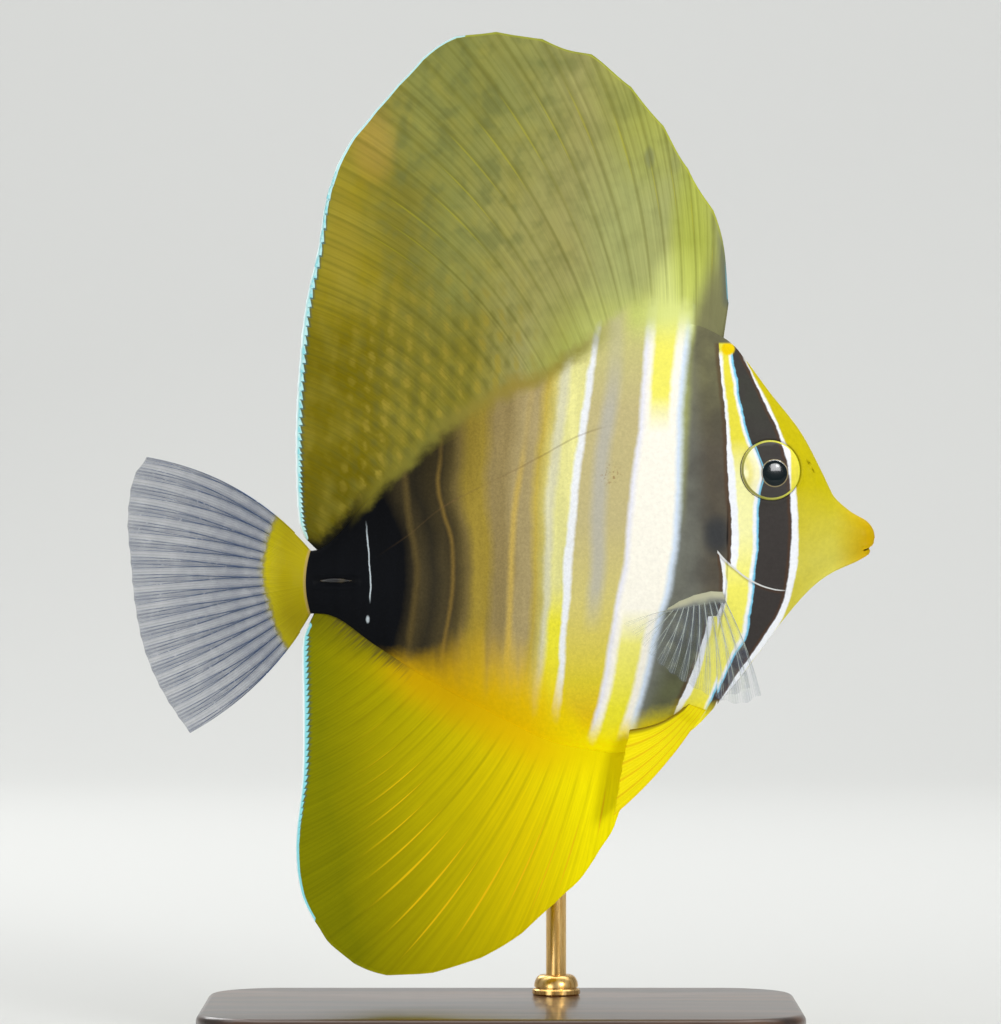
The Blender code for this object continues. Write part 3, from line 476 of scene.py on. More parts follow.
# Lines of the skin's pattern, as (x, z); each is where one band ends and the next begins, front to rear
bandEdges = {
    "snoutEnd": [(25.15, 23.2), (26.5, 20.8), (27.64, 18.65), (28.77, 16.35), (29.6, 14.64),
                 (30.27, 13.05), (31.17, 11.19), (31.43, 8.9), (31.66, 6.03), (31.86, 3.17), (31.8, 0.3),
                 (31.37, -2.57), (30.66, -5.14), (29.22, -7.73), (27.5, -10.02), (26.0, -12.2)],
    "eyeBarFront": [(25.0, 23.4), (26.22, 21.08), (27.5, 18.36), (28.5, 16.07), (29.37, 14.35),
                    (30.02, 12.63), (30.52, 10.91), (30.89, 8.32), (31.0, 5.46), (31.12, 2.89),
                    (30.95, 0.3), (30.75, -1.5), (30.4, -3.71), (29.65, -5.71), (28.37, -7.73),
                    (26.99, -9.73), (25.4, -12.1)],
    "eyeBarRear": [(24.7, 23.4), (24.83, 21.95), (25.21, 19.8), (25.64, 16.93), (26.35, 14.06),
                   (26.8, 12.5), (27.45, 11.3), (27.87, 9.48), (27.82, 7.6), (27.62, 6.0), (27.5, 4.89),
                   (27.56, 2.02), (27.36, -0.27), (27.16, -1.99), (26.98, -3.71), (26.7, -5.99),
                   (26.35, -8.29), (25.6, -9.6), (24.75, -11.1), (23.75, -13.1), (22.95, -14.7),
                   (22.0, -16.2)],
    "bandRear": [(23.84, 23.4), (23.84, 21.23), (24.29, 16.35), (24.64, 12.34), (25.07, 9.48),
                 (25.36, 4.89), (25.5, 0.88), (25.2, -0.6), (25.0, -2.4), (24.75, -4.28), (24.05, -5.99),
                 (22.7, -9.16), (21.4, -12.31), (19.76, -15.17)],
    "barTwoFront": [(23.3, 23.4), (23.4, 21.8), (23.64, 19.22), (23.93, 16.35), (24.12, 12.91),
                    (24.2, 9.48), (24.49, 6.03), (24.64, 3.17), (24.58, 0.3), (24.5, -1.99),
                    (24.2, -4.28), (23.1, -6.58), (21.85, -9.16), (20.5, -12.03), (18.76, -15.75)],
    "barTwoRear": [(21.3, 34.0), (20.97, 27.8), (20.19, 22.08), (20.05, 16.37), (19.62, 11.77),
                   (19.33, 4.92), (19.2, 0.59), (18.33, -3.71), (17.61, -6.58), (17.18, -9.42),
                   (16.48, -12.31), (15.61, -15.19)],
    "wideFront": [(20.4, 30.0), (19.6, 22.08), (19.05, 16.37), (18.91, 11.77), (18.81, 7.81),
                  (18.48, 2.03), (18.04, -0.86), (17.61, -3.71), (16.76, -6.58), (16.04, -9.42),
                  (15.46, -12.31), (14.3, -16.4)],
    "wideRear": [(16.2, 30.0), (15.52, 24.61), (15.32, 22.08), (14.89, 16.37), (14.47, 11.77),
                 (13.89, 7.81), (13.31, 2.03), (13.03, -0.86), (12.45, -3.71), (11.88, -6.58),
                 (11.45, -9.42), (11.02, -12.31), (10.38, -14.98), (9.74, -17.33)],
    "greyStripe": [(12.3, 24.0), (12.13, 19.84), (11.51, 15.41), (10.89, 11.84), (10.54, 7.77),
                   (10.36, 3.86), (10.35, -1.05), (9.99, -4.24), (9.6, -9.0)],
    "thirdFront": [(10.5, 24.0), (10.1, 21.08), (9.57, 17.17), (8.95, 12.73), (8.32, 8.3), (7.88, 2.97),
                   (7.51, -2.81), (7.16, -6.37), (6.81, -10.81), (6.45, -14.35)],
    "thirdRear": [(9.7, 24.0), (9.3, 21.08), (8.59, 17.17), (7.97, 12.73), (7.44, 9.19), (6.9, 3.86),
                  (6.45, -4.59), (6.27, -8.13), (5.56, -13.46)],
    "orangeLine": [(3.0, 16.0), (2.56, 12.73), (2.2, 10.08), (1.49, 5.64), (1.22, 2.09), (1.07, -1.68),
                   (0.89, -6.27), (0.7, -10.09), (0.6, -13.0)],
    "thinOrange": [(-6.3, 14.0), (-6.47, 10.92), (-6.75, 8.07), (-6.18, 5.2), (-5.32, 2.33),
                   (-5.14, -0.54), (-5.32, -4.35), (-5.8, -7.22), (-6.28, -10.09), (-6.5, -13.0)],
    "umberLine": [(-10.4, 10.0), (-10.2, 8.07), (-9.81, 4.24), (-9.24, 1.38), (-8.96, -1.49),
                  (-9.24, -4.35), (-9.62, -7.22), (-10.0, -10.09)],
    "hairLine": [(-14.6, 5.5), (-14.45, 4.0), (-14.25, 2.0), (-14.1, 0.0), (-13.98, -2.0), (-14.0, -4.2)],
    "goldTop": [(-21.0, -9.5), (-16.0, -11.2), (-13.0, -11.6), (-11.0, -11.5), (-8.7, -11.8),
                (-5.5, -12.7), (-2.2, -12.9), (5.2, -15.4), (8.4, -18.2), (10.6, -19.2), (14.0, -18.6),
                (17.6, -17.4), (21.8, -16.6), (26.0, -20.0)],
}
heightSpan, lengthSpan = (-22.0, 34.0), (-25.0, 45.0)


def makeMarkings():
    # the pattern of the flank, read at any place by its side view, so skin, fin roots and irises all agree
    group, given, out = newGroup("flankMarkings", [("Place", "Vector")],
                                 [("Color", "Color"), ("Back", "Float")])
    place = given["Place"]
    across = axesOf(place)
    nearer = abs(across[1]) * (1 / camera["distance"]) + 1.0  # the flank bulges towards the camera
    rawX = across[0] * (1 / mm) * nearer
    z = (across[2] * (1 / mm) + (-axisHeight - camera["level"])) * nearer + camera["level"]
    ragged = noiseOf(place, 900.0, 3.0, 0.6) - 0.5
    soft = noiseOf(place, 220.0, 2.0, 0.5) - 0.5
    warped = rawX + ragged * 0.32 + soft * 0.4

    # below the fold of the gill cover the bands sit a little further back
    foldZ = curveOf(rawX, gill["fold"][:1] + gill["fold"], (20.0, 32.0), (-6.0, 4.0))
    below = foldZ - z
    under = ranged(below, -0.04, 0.04)
    slip = (under * ranged(below, 0.0, 12.0, 0.95, 0.0, False)
            + under * ranged(below, 0.0, 2.0, 0.35, 0.0, False))
    x = warped + slip * ranged(rawX, 24.6, 26.2, 1.0, 0.0) * ranged(rawX, 20.0, 22.4)
    rearX = warped + soft * 0.5

    def edgeOf(name):
        return curveOf(z, [(q, p) for p, q in bandEdges[name]], heightSpan, lengthSpan)

    def behind(name, softness, shift=0.0):
        return ranged(edgeOf(name) - x, -softness + shift, softness + shift)

    def stripe(name, halfWidth, softness):
        gap = abs(edgeOf(name) - (rawX + ragged * 0.2))
        return ranged(gap, halfWidth - softness, halfWidth + softness, 1.0, 0.0)

    def upTones(stops):
        return rampOf(z, stops, *heightSpan)

    colour = mixed(ranged(rawX, 35.2, 39.4), upTones([(-12, "snout"), (0, "snout"), (8, "snoutDeep"),
                                                      (21, "snoutDeep")]), "snoutTip")
    colour = mixed(ranged(soft, -0.15, 0.2) * 0.35, colour, "snoutDeep")
    colour = mixed(behind("snoutEnd", 0.13, 0.03), colour, "whiteLine")
    barColour = mixed(ranged(soft, -0.2, 0.2), upTones([(4, "eyeBar"), (20, "eyeBarTop")]), "eyeBar")
    barMask = behind("eyeBarFront", 0.1)
    brown = barMask - behind("eyeBarFront", 0.16, 0.34)
    colour = mixed(barMask, colour, barColour)
    colour = mixed(mathOf("MULTIPLY", brown, 0.55, clamp=True), colour, "brownRimAndFoldShade")
    colour = mixed(behind("eyeBarRear", 0.07), colour, "cyanRim")
    colour = mixed(behind("eyeBarRear", 0.12, 0.22), colour, "whiteLine")
    yellow = upTones([(-17, "bandYellowDeep"), (-12, "bandYellow"), (-3, "bandYellow"), (3, "cream"),
                      (9, "cream"), (13, "bandYellowDeep")])
    wide = curveOf(z, [(-22, 0.3), (-6, 0.58), (0, 0.58), (6, 0.6), (12, 0.5), (20, 0.46), (34, 0.3)],
                   heightSpan, (0.0, 1.0))
    colour = mixed(ranged(edgeOf("eyeBarRear") - x - wide, -0.16, 0.16), colour, yellow)
    bandEnd = behind("bandRear", 0.16, 0.06) * ranged(z, 21.6, 22.6, 1.0, 0.0)
    colour = mixed(bandEnd, colour, "whiteLine")
    secondMask = behind("barTwoFront", 0.07)
    barTwo = upTones([(-18, "barTwoLow"), (-10, "barTwoLow"), (-3, "barTwo"), (12, "barTwo"),
                      (20, "barTwoTop"), (30, "barTwoTop")])
    barTwo = mixed(behind("barTwoFront", 1.4, 3.0) * 0.7, barTwo, "barTwoPale")
    blotch = ranged(noiseOf(place, 330.0, 2.0, 0.5), 0.35, 0.75, 0.0, 0.4)
    barTwo = mixed(blotch, barTwo, "eyeBar")
    # painted shade: a dark blue-black patch in the corner above the gill cover's fold
    corner = spotMask(rawX, z, (23.1, 2.7), 1.6, 2.3) * 0.75
    barTwo = mixed(corner, barTwo, "barCornerShade")
    brown = mathOf("MULTIPLY", secondMask - behind("barTwoFront", 0.2, 0.4), 0.6, clamp=True)
    colour = mixed(secondMask, colour, barTwo)
    colour = mixed(brown, colour, "brownRimAndFoldShade")
    colour = mixed(ranged(gapTo(rawX, z, (24.3, 22.6)), 0.55, 0.85, 1.0, 0.0), colour, "cap")
    aboveCap = ranged(z, 23.05, 23.35) * ranged(rawX, 22.5, 22.8)
    colour = mixed(aboveCap, colour, barTwo)
    leaf = upTones([(3, "barTwoPale"), (9, "leafLine"), (22, "leafLine")])
    colour = mixed(behind("barTwoRear", 0.75), colour, leaf)
    colour = mixed(behind("wideFront", 0.42, -0.45), colour, "skyLine")
    colour = mixed(behind("wideFront", 0.3, 0.15), colour, "wideBand")
    core = behind("wideFront", 0.3, 1.0) * (1.0 - behind("wideRear", 0.3, -1.05))
    coreShare = rampOf(z, [(-9, 1.0), (-5.2, 0.0), (13.5, 0.0), (17.5, 1.0)], *heightSpan)
    coreTone = upTones([(-16, "wideGold"), (-6, "wideYellow"), (12, "wideYellow"), (18, "bandYellow"),
                        (24, "bandYellow")])
    colour = mixed(core * coreShare, colour, coreTone)
    afterWide = behind("wideRear", 0.28)
    colour = mixed(behind("wideRear", 0.4, -0.5) * 0.7, colour, "lavender")
    tan = upTones([(-18, "gold"), (-13, "tanGold"), (-4, "tanWarm"), (4, "tan"), (16, "tan"), (23, "tanTop")])
    colour = mixed(afterWide, colour, tan)
    greyShare = rampOf(z, [(-8, 0.0), (-3, 0.8), (16, 0.8), (22, 0.3)], *heightSpan)
    colour = mixed(stripe("greyStripe", 0.75, 0.6) * greyShare, colour, "greyBlue")
    specks = ranged(gapTo(rawX, z, (11.7, 9.1)), 0.2, 1.7, 1.0, 0.0) * ranged(noiseOf(place, 3200.0, 2.0),
            0.56, 0.62)
    colour = mixed(specks * 0.6, colour, "speck")
    topFade = ranged(z + soft * 1.5, 22.2, 26.6, 0.0, 0.95) * ranged(rawX, 12.5, 14.5)
    colour = mixed(topFade * ranged(rawX, 20.4, 21.0, 1.0, 0.0), colour, mixed(ranged(rawX, 14.0, 18.0),
            "finLime", "finBright"))

    # the third line, and everything behind it, placed between that line and the thin orange one
    colour = mixed(behind("thirdFront", 0.22), colour, "whiteCool")
    lineA = edgeOf("thirdRear")
    along = (lineA - rearX) / (lineA - edgeOf("thinOrange"))
    rear = rampOf(along, [(0.0, "thirdYellow"), (0.08, "thirdYellow"), (0.12, "pale"), (0.15, "pale"),
                          (0.19, "straw"), (0.25, "ochreLight"), (0.31, "mauve"), (0.4, "mauve"),
                          (0.51, "mauveMid"), (0.6, "mauveMid"), (0.69, "ochreDeep"), (0.79, "ochreDeep"),
                          (0.87, "mauveDeep"), (0.92, "brown"), (0.98, "umber"), (1.07, "umber"),
                          (1.17, "umberDeep"), (1.28, "umber"), (1.44, "black")], 0.0, 1.5)
    streaks = noiseOf(place, 760.0, 2.0, 0.6, (1.0, 0.3, 0.07))
    rear = grained(rear, streaks, 0.88, 1.1)
    rear = shaded(ranged(along, 0.5, 0.8) * ranged(z, 4.0, 11.0, 0.0, 0.6), rear, 0.7)
    highDark = ranged(along, 0.85, 1.05) * ranged(z, -2.0, 4.0, 0.0, 0.7)
    rear = shaded(highDark, rear, 0.6)
    thirdLow = ranged(along, 0.08, 0.15, 1.0, 0.0) * ranged(z, -7.0, -2.0, 1.0, 0.0)
    rear = mixed(thirdLow, rear, "thirdGold")
    rearMask = ranged(along, -0.03, 0.0)
    colour = mixed(rearMask, colour, rear)
    lineShare = rampOf(z, [(-14, 0.3), (-9, 0.9), (8, 0.85), (13, 0.2)], *heightSpan)
    for name, halfWidth, softness, shade in (("orangeLine", 0.3, 0.3, "orangeLine"),
                                             ("thinOrange", 0.17, 0.26, "orangeFaint"),
                                             ("umberLine", 0.3, 0.34, "umberLine")):
        colour = mixed(stripe(name, halfWidth, softness) * lineShare, colour, shade)
    dot = spotMask(rawX, z, (-14.26, -6.35), 0.2, 0.42) * 0.75
    colour = mixed(dot, colour, "hairLine")
    hairShare = rampOf(z, [(-4.6, 0.0), (-3.8, 0.9), (2.4, 0.8), (4.2, 0.0)], *heightSpan)
    colour = mixed(stripe("hairLine", 0.06, 0.06) * hairShare, colour, "hairLine")

    lateralGap = abs(z + ragged * 0.12 - curveOf(rawX, lateralLine, lengthSpan, heightSpan))
    lateralMask = ranged(lateralGap, 0.05, 0.16, 0.4, 0.0) * ranged(rawX, 12.0, 9.0)
    broken = ranged(rawX, -14.0, -4.0, 0.0, 1.0) * ranged(soft, -0.2, 0.1, 0.35, 1.0)
    colour = mixed(lateralMask * broken, colour, "lateral")

    # fine pepper over the rear of the flank
    pepper = ranged(noiseOf(place, 4200.0, 3.0, 0.7), 0.35, 0.65, 0.84, 1.12, False)
    pepperMask = afterWide * (rearMask * ranged(along, 0.0, 0.5, 0.0, 0.4) + 0.35)
    colour = mixed(pepperMask, colour, mixed(1.0, colour, pepper, "MULTIPLY"))

    # gold along the belly and olive along the back
    backZ = curveOf(rawX, body["back"][1:], lengthSpan, heightSpan)
    lift = curveOf(rawX, [(-25.0, 0.0), (-14.0, 0.0), (-8.0, 0.9), (-4.6, 1.4), (0.0, 1.4), (5.7, 0.2),
                          (45.0, 0.0)], lengthSpan, (0.0, 2.0))
    fromBack = backZ - z + lift
    creep = fromBack + ragged * 1.6 + soft * 2.6
    oliveMask = ranged(creep, -0.5, 1.7, 1.0, 0.0) * ranged(rawX, 8.0, 13.5, 0.9, 0.0)
    oliveMask = oliveMask * ranged(rawX, -16.5, -13.5)
    oliveTone = rampOf(rawX, [(-20, "finLow"), (-8, "olive"), (2, "oliveWarm"), (10, "olive")], -22.0, 14.0)
    colour = mixed(oliveMask, colour, oliveTone)
    goldGap = curveOf(rawX, bandEdges["goldTop"], lengthSpan, heightSpan) - z + soft * 2.0 + ragged * 1.2
    goldTone = rampOf(rawX, [(-20, "analRear"), (-13, "goldDeep"), (-5, "goldDeep"), (3, "gold"),
                             (11, "goldBelly")], -22.0, 22.0)
    drips = curveOf(rawX, [(-25.0, 0.5), (-9.0, 1.0), (-5.0, 3.5), (0.0, 5.5), (5.0, 4.5), (8.0, 2.0),
                           (12.0, 0.8), (45.0, 0.8)], lengthSpan, (0.0, 7.0))
    goldGap = goldGap + (streaks - 0.5) * drips
    depth = curveOf(rawX, [(-25.0, 1.5), (-11.0, 1.5), (-6.0, 3.0), (-2.0, 4.6), (5.0, 4.6), (8.0, 2.0),
                           (45.0, 1.6)], lengthSpan, (0.0, 5.0))
    goldMask = ranged(goldGap / depth, -1.6, 0.5)
    colour = mixed(goldMask, colour, goldTone)

    # the fold of the gill cover: a silvery line along its ridge, thinning forwards, that is a painted
    # highlight, with a painted soft shade under it
    foldGap = abs(below) / ranged(rawX, 23.0, 30.0, 0.19, 0.07, False)
    foldEnds = ranged(rawX, 22.95, 23.25) * ranged(rawX, 29.8, 30.8, 1.0, 0.0)
    # painted shade just under the fold, in the brown of the bars' rims
    underFoldShade = ranged(below, 0.0, 0.1) * ranged(below, 0.15, 0.5, 0.4, 0.0)
    colour = mixed(underFoldShade * foldEnds, colour, "brownRimAndFoldShade")
    # painted highlight along the fold's ridge
    foldHighlight = ranged(foldGap, 0.45, 1.1, 0.95, 0.0) * foldEnds
    colour = mixed(foldHighlight, colour, "foldHighlightTone")
    plug(colour, out.inputs["Color"])
    plug(fromBack, out.inputs["Back"])
    return group


def makeScaleGrain():
    # small rough scales, as a height
    group, given, out = newGroup("scaleGrain", [("Place", "Vector"), ("Scale", "Float")],
                                 [("Height", "Float")])
    cells = stepOf("ShaderNodeTexVoronoi", {"Vector": given["Place"], "Scale": given["Scale"]}, "Distance")
    plug(cells * 0.6 + noiseOf(given["Place"], 1500.0, 4.0, 0.6), out.inputs["Height"])
    return group


markings = makeMarkings()
scaleGrain = makeScaleGrain()


def skinFinish():
    finish, tree, shader, place = newFinish("skin", roughness=0.5, coat=0.015, coatRoughness=0.25,
                                            specular=0.05)
    pattern = placeGroup(markings, Place=place)
    # painted shade: darker where the skin lies in a hollow
    hollowShadeMask = reading(tree, "hollowShade")
    colour = mixed(ranged(hollowShadeMask, 0.15, 0.95, 0.0, 0.9), pattern["Color"], "paintedShade")
    # painted light: paler where the surface turns down under the belly, to make up for the light that misses
    # it; and a fine grain all over
    upward = axesOf(Wire(addNode(tree, "ShaderNodeNewGeometry").outputs["Normal"]))[2]
    colour = shaded(ranged(upward, -0.25, -0.9), colour, 1.45)
    colour = grained(colour, noiseOf(place, 2300.0, 3.0, 0.65), 0.94, 1.05)
    plug(colour, shader.inputs["Base Color"])
    bumped(shader, placeGroup(scaleGrain, Place=place, Scale=2600.0)["Height"], 0.00004, 0.55)
    return finish


# Fins: outlines and rays in the side view, as in the frame
dorsal = {
    "margin": [(24.2, 24.2), (24.3, 27.8), (23.9, 33.7), (22.6, 37.6), (20.2, 41.5), (17.4, 46.4),
               (14.0, 50.5), (10.4, 53.7), (6.3, 55.1), (2.0, 56.3), (-2.8, 56.4), (-6.5, 55.3),
               (-10.0, 52.0), (-13.8, 47.7), (-16.7, 43.9), (-18.6, 39.1), (-19.6, 33.2), (-20.9, 27.3),
               (-21.6, 20.9), (-22.0, 13.4), (-21.8, 5.3), (-21.1, 2.6), (-20.0, 1.7)],
    "rootSpan": (24.0, -19.3), "rays": 34, "spines": 4,
    "tipShares": [(0.0, 0.03), (0.03, 0.12), (0.1, 0.23), (0.2, 0.395), (0.28, 0.5), (0.4, 0.63),
                  (0.57, 0.755), (0.78, 0.866), (1.0, 0.99)],
    "bow": [(0.0, 0.0), (0.15, 0.05), (0.45, 0.09), (0.8, 0.07), (1.0, 0.0)],
    "sway": (0.7, 2.4, 0.4), "rows": 88, "perRay": 10, "scallop": 0.4, "scallopTo": 0.24,
    "film": (0.13, 0.065), "ridge": (0.06, 0.015), "strand": (0.17, 0.07), "forks": [0.58, 0.8],
    "fillet": 0.3,
    "lowTones": [(-20, "finLow"), (-15, "finLow"), (-9, "finMoss"), (-3, "finMoss"), (3, "finSand"),
                 (7, "finFront"), (11, "finLime"), (24, "finLime")],
    "midTones": [(-20, "finRust"), (-15, "finRust"), (-10, "finMoss"), (-5, "finGreen"), (0, "finMid"),
                 (7, "finSand"), (13, "finPale"), (24, "finPale")],
    "topTones": [(-20, "finOrange"), (-14, "finOrange"), (-9, "finGreen"), (-3, "finGreen"),
                 (3, "finTop"), (9, "finSand"), (16, "finFront"), (24, "finFront")],
    "patches": [("finBright", (19.2, 28.2), 3.2, 5.4, 0.9), ("finAcid", (20.6, 34.0), 2.6, 9.5, 0.6),
                ("finGrey", (-11.0, 36.5), 4.2, 6.0, 0.22), ("finGrey", (0.5, 50.5), 6.0, 3.6, 0.2),
                ("finAmber", (-13.6, 44.4), 2.4, 4.2, 0.42), ("finOrange", (-17.0, 34.5), 2.2, 6.0, 0.5),
                ("finSmoke", (15.9, 43.1), 0.6, 1.25, 0.42), ("finSmoke", (18.7, 42.5), 0.7, 1.2, 0.2),
                ("finGrey", (13.5, 49.0), 2.6, 2.0, 0.25), ("finGrey", (5.0, 53.5), 4.0, 1.8, 0.3)],
    "edges": {"marginGap": (0.235, 1.0), "frontGap": (0.0, 0.62)},
    "rimWidth": [(0.0, 0.2), (2.4, 0.3), (4.5, 0.68), (22.0, 0.74), (32.0, 0.6), (40.0, 0.4),
                 (46.0, 0.26), (60.0, 0.2)],
    "toothPitch": [(0.0, 0.5), (9.0, 0.56), (16.0, 0.95), (29.0, 1.05), (36.0, 1.6), (60.0, 1.8)],
    "rimInner": "rimPale",
}
anal = {
    "margin": [(14.3, -20.9), (13.6, -24.6), (12.6, -27.2), (11.9, -29.1), (10.6, -31.0), (8.5, -34.2),
               (6.3, -36.2), (2.0, -40.1), (-1.2, -42.1), (-5.5, -43.7), (-9.7, -44.4), (-14.0, -44.0),
               (-17.8, -41.5), (-19.6, -39.1), (-21.1, -36.4), (-21.8, -33.2), (-21.9, -29.4),
               (-21.3, -23.5), (-21.2, -17.1), (-21.3, -9.6), (-20.9, -7.6), (-20.1, -6.3)],
    "rootSpan": (13.4, -19.5), "rays": 27, "spines": 3,
    "tipShares": [(0.0, 0.05), (0.06, 0.2), (0.13, 0.305), (0.22, 0.46), (0.32, 0.58), (0.5, 0.73),
                  (0.7, 0.85), (1.0, 0.99)],
    "bow": [(0.0, 0.0), (0.3, -0.06), (0.6, -0.07), (1.0, 0.0)],
    "sway": (0.5, 2.0, 2.4), "rows": 80, "perRay": 10, "scallop": 0.14, "scallopTo": 0.3,
    "film": (0.13, 0.065), "ridge": (0.06, 0.015), "strand": (0.17, 0.07), "forks": [0.5, 0.75],
    "fillet": 0.3,
    "edges": {"marginGap": (0.34, 1.0)},
    "rimWidth": [(-50.0, 0.16), (-40.0, 0.26), (-31.0, 0.36), (-26.0, 0.5), (-22.0, 0.7), (-9.0, 0.74),
                 (-7.4, 0.35), (0.0, 0.25)],
    "toothPitch": [(-50.0, 0.8), (-26.0, 0.7), (-8.0, 0.58), (0.0, 0.5)], "rimInner": "rimCyan",
}
tail = {
    "margin": [(-37.9, 11.0), (-39.4, 8.6), (-40.0, 4.3), (-39.7, 0.0), (-39.3, -4.3), (-38.5, -8.6),
               (-37.3, -12.0), (-35.6, -15.2), (-33.3, -18.5)],
    "rays": 17, "bow": [(0, 0.09), (0.25, 0.03), (0.75, -0.02), (1, -0.07)],
    "sway": (0.9, 1.0, 0.0), "rows": 70, "perRay": 10, "scallop": 0.08, "scallopTo": 1.0,
    "film": (0.08, 0.04), "ridge": (0.04, 0.01), "strand": (0.105, 0.035), "forks": [0.28, 0.5, 0.72],
    "points": 34,
    "crescent": [(-24.2, 4.2), (-24.7, 3.1), (-25.3, 0.6), (-25.5, -1.7), (-25.1, -3.6), (-24.1, -7.2),
                 (-23.4, -8.6)],
}
pectoral = {
    "root": [(23.3, -3.3), (22.2, -3.2), (20.6, -3.6), (19.2, -4.3), (18.2, -5.2)],
    "rays": 13, "rows": 44, "perRay": 8, "bow": (0.3, 0.5, 0.2),
    "tips": [(27.2, 8.6, -14.0), (24.8, 9.0, -14.9), (20.9, 8.0, -13.6), (16.8, 6.2, -10.9),
             (13.0, 3.6, -6.6)],
    "film": (0.05, 0.02), "rootHalf": 0.5, "scallop": 0.25, "sink": 0.45,
    "swell": 0.32, "swellWidth": 0.75,
    "strand": (0.06, 0.02), "forks": [0.35, 0.6],
}
pelvic = {
    "root": [(21.6, -15.9), (19.9, -15.4)], "rays": 6, "rows": 44, "perRay": 12, "bow": (0.4, 0.2, -0.5),
    "tips": [(12.0, 1.5, -27.1), (12.4, 1.4, -24.8), (12.8, 1.2, -22.3), (13.2, 1.0, -20.2),
             (13.7, 0.9, -18.0)],
    "film": (0.12, 0.06), "rootHalf": 0.5, "scallop": 0.12, "sink": 0.45,
    "strand": (0.12, 0.05), "forks": [0.4, 0.65],
}


def bodyEdge(profileAt, span, rise):
    x = np.linspace(*span, 160)
    edge = np.column_stack([x, profileAt(x)])
    tangent = np.gradient(edge, axis=0)
    tangent /= np.linalg.norm(tangent, axis=1)[:, None]
    return edge + quarterTurn(tangent) * rise


def quarterTurn(vectors):
    return np.column_stack([vectors[:, 1], -vectors[:, 0]])


def rayBend(roots, tips, bow, v):
    # points of each ray at the shares v of its length
    v = np.asarray(v)[None, :, None]
    middle = (roots + tips) / 2 + bow * 2
    return (1 - v)**2 * roots[:, None] + 2 * v * (1 - v) * middle[:, None] + v**2 * tips[:, None]


def inSpace(points):
    return np.column_stack([points[:, 0], np.zeros(len(points)), points[:, 1]])


def medianGrid(fin, roots, place, v, rootShares=((0, 0), (1, 1))):
    # middle surface of a fin in the fish's middle plane; place runs 0 to 1 from its first ray to its last
    root = atShare(roots, tableAt(rootShares, place))
    tip = atShare(smoothLine(fin["margin"]), tableAt(fin.get("tipShares", [(0, 0), (1, 1)]), place))
    ray = tip - root
    length = np.linalg.norm(ray, axis=1)[:, None]
    count = place * (fin["rays"] - 1)
    cusp = 1 - np.abs(np.sin(np.pi * count))**0.9
    calm = 1 - smoothStep(place, fin["scallopTo"] - 0.1, fin["scallopTo"] + 0.05)
    tip = tip + ((cusp - 0.65) * fin["scallop"] * (0.15 + 0.85 * calm))[:, None] * ray / length
    bow = quarterTurn(ray) * tableAt(fin["bow"], place)[:, None]
    grid = rayBend(inSpace(root), inSpace(tip), inSpace(bow), v)
    grid[..., 1] += fin["sway"][0] * np.asarray(v)[None, :]**2 * np.sin(
        fin["sway"][1] * math.pi * place[:, None] + fin["sway"][2])
    return grid


def surfaceNormals(grid):
    normals = np.cross(np.gradient(grid, axis=0), np.gradient(grid, axis=1))
    return normals / np.maximum(np.linalg.norm(normals, axis=2, keepdims=True), 1e-9)


def finColumns(fin):
    steps = (fin["rays"] - 1) * fin["perRay"]
    return np.linspace(0, 1, steps + 1)


def slabMesh(name, grid, half, normals, values):
    # closed skin of a thin fin round its middle surface
    columns, rows = grid.shape[:2]
    near, far = grid + normals * half[..., None], grid - normals * half[..., None]
    points = np.concatenate([near.reshape(-1, 3), far.reshape(-1, 3)])
    points[:, 2] += axisHeight
    count = columns * rows
    sideA = np.array(gridFaces(columns, rows))
    sideB = sideA[:, ::-1] + count
    rim = [(i, 0) for i in range(columns)] + [(columns - 1, j) for j in range(1, rows)]
    rim += [(i, rows - 1) for i in range(columns - 2, -1, -1)] + [(0, j) for j in range(rows - 2, 0, -1)]
    index = np.array([i * rows + j for i, j in rim])
    after = np.roll(index, -1)
    edge = np.stack([index, after, after + count, index + count], axis=-1)
    a, b, c = points[sideA[0][0]], points[sideA[0][1]], points[sideA[0][2]]
    if np.dot(np.cross(b - a, c - a), normals[0, 0]) < 0:
        sideA, sideB = sideA[:, ::-1], sideB[:, ::-1]
    else:
        edge = edge[:, ::-1]
    doubled = {key: np.concatenate([np.ravel(column)] * 2) for key, column in values.items()}
    return meshFrom(name, points, np.concatenate([sideA, sideB, edge]).tolist(), doubled)


def finThickness(fin, place, v, rootHalf, rootGap=0.0):
    # half thickness: thick at the root, thin film between raised rays
    count = place * (fin["rays"] - 1)
    crest = np.exp(-(((count + 0.5) % 1 - 0.5) / 0.17)**2)[:, None]
    vv = np.asarray(v)[None, :]
    film = fin["film"][0] + (fin["film"][1] - fin["film"][0]) * vv
    ridge = fin.get("ridge", (0.0, 0.0))
    thick = film + crest * (ridge[0] + (ridge[1] - ridge[0]) * vv)
    blend = smoothStep(vv, 0.0, 0.16)
    thick = rootHalf[:, None] * (1 - blend) + thick * blend + fin.get("fillet", 0.0) * np.exp(-rootGap / 0.8)
    return thick * (1 - 0.75 * smoothStep(vv, 0.985, 1.0))


def finValues(fin, grid, place, v):
    # what the finishes read: ray count, share of the ray, and distances to root, rear edge and front edge
    count, share = np.broadcast_arrays(place[:, None] * (fin["rays"] - 1), v[None, :])
    length = np.linalg.norm(grid[:, -1] - grid[:, 0], axis=1)[:, None]
    values = {"rayCount": count, "rayShare": share, "rootGap": share * length}
    for key, (low, high) in fin.get("edges", {}).items():
        edge = grid[(place >= low) & (place <= high)][:, -1][:, [0, 2]]
        values[key], along = lineGap(grid[..., 0], grid[..., 2], atShare(edge, np.linspace(0, 1, 90)))
        if key == "marginGap":
            values["toothCount"] = np.interp(along, *toothCounts(fin, edge))
    return values


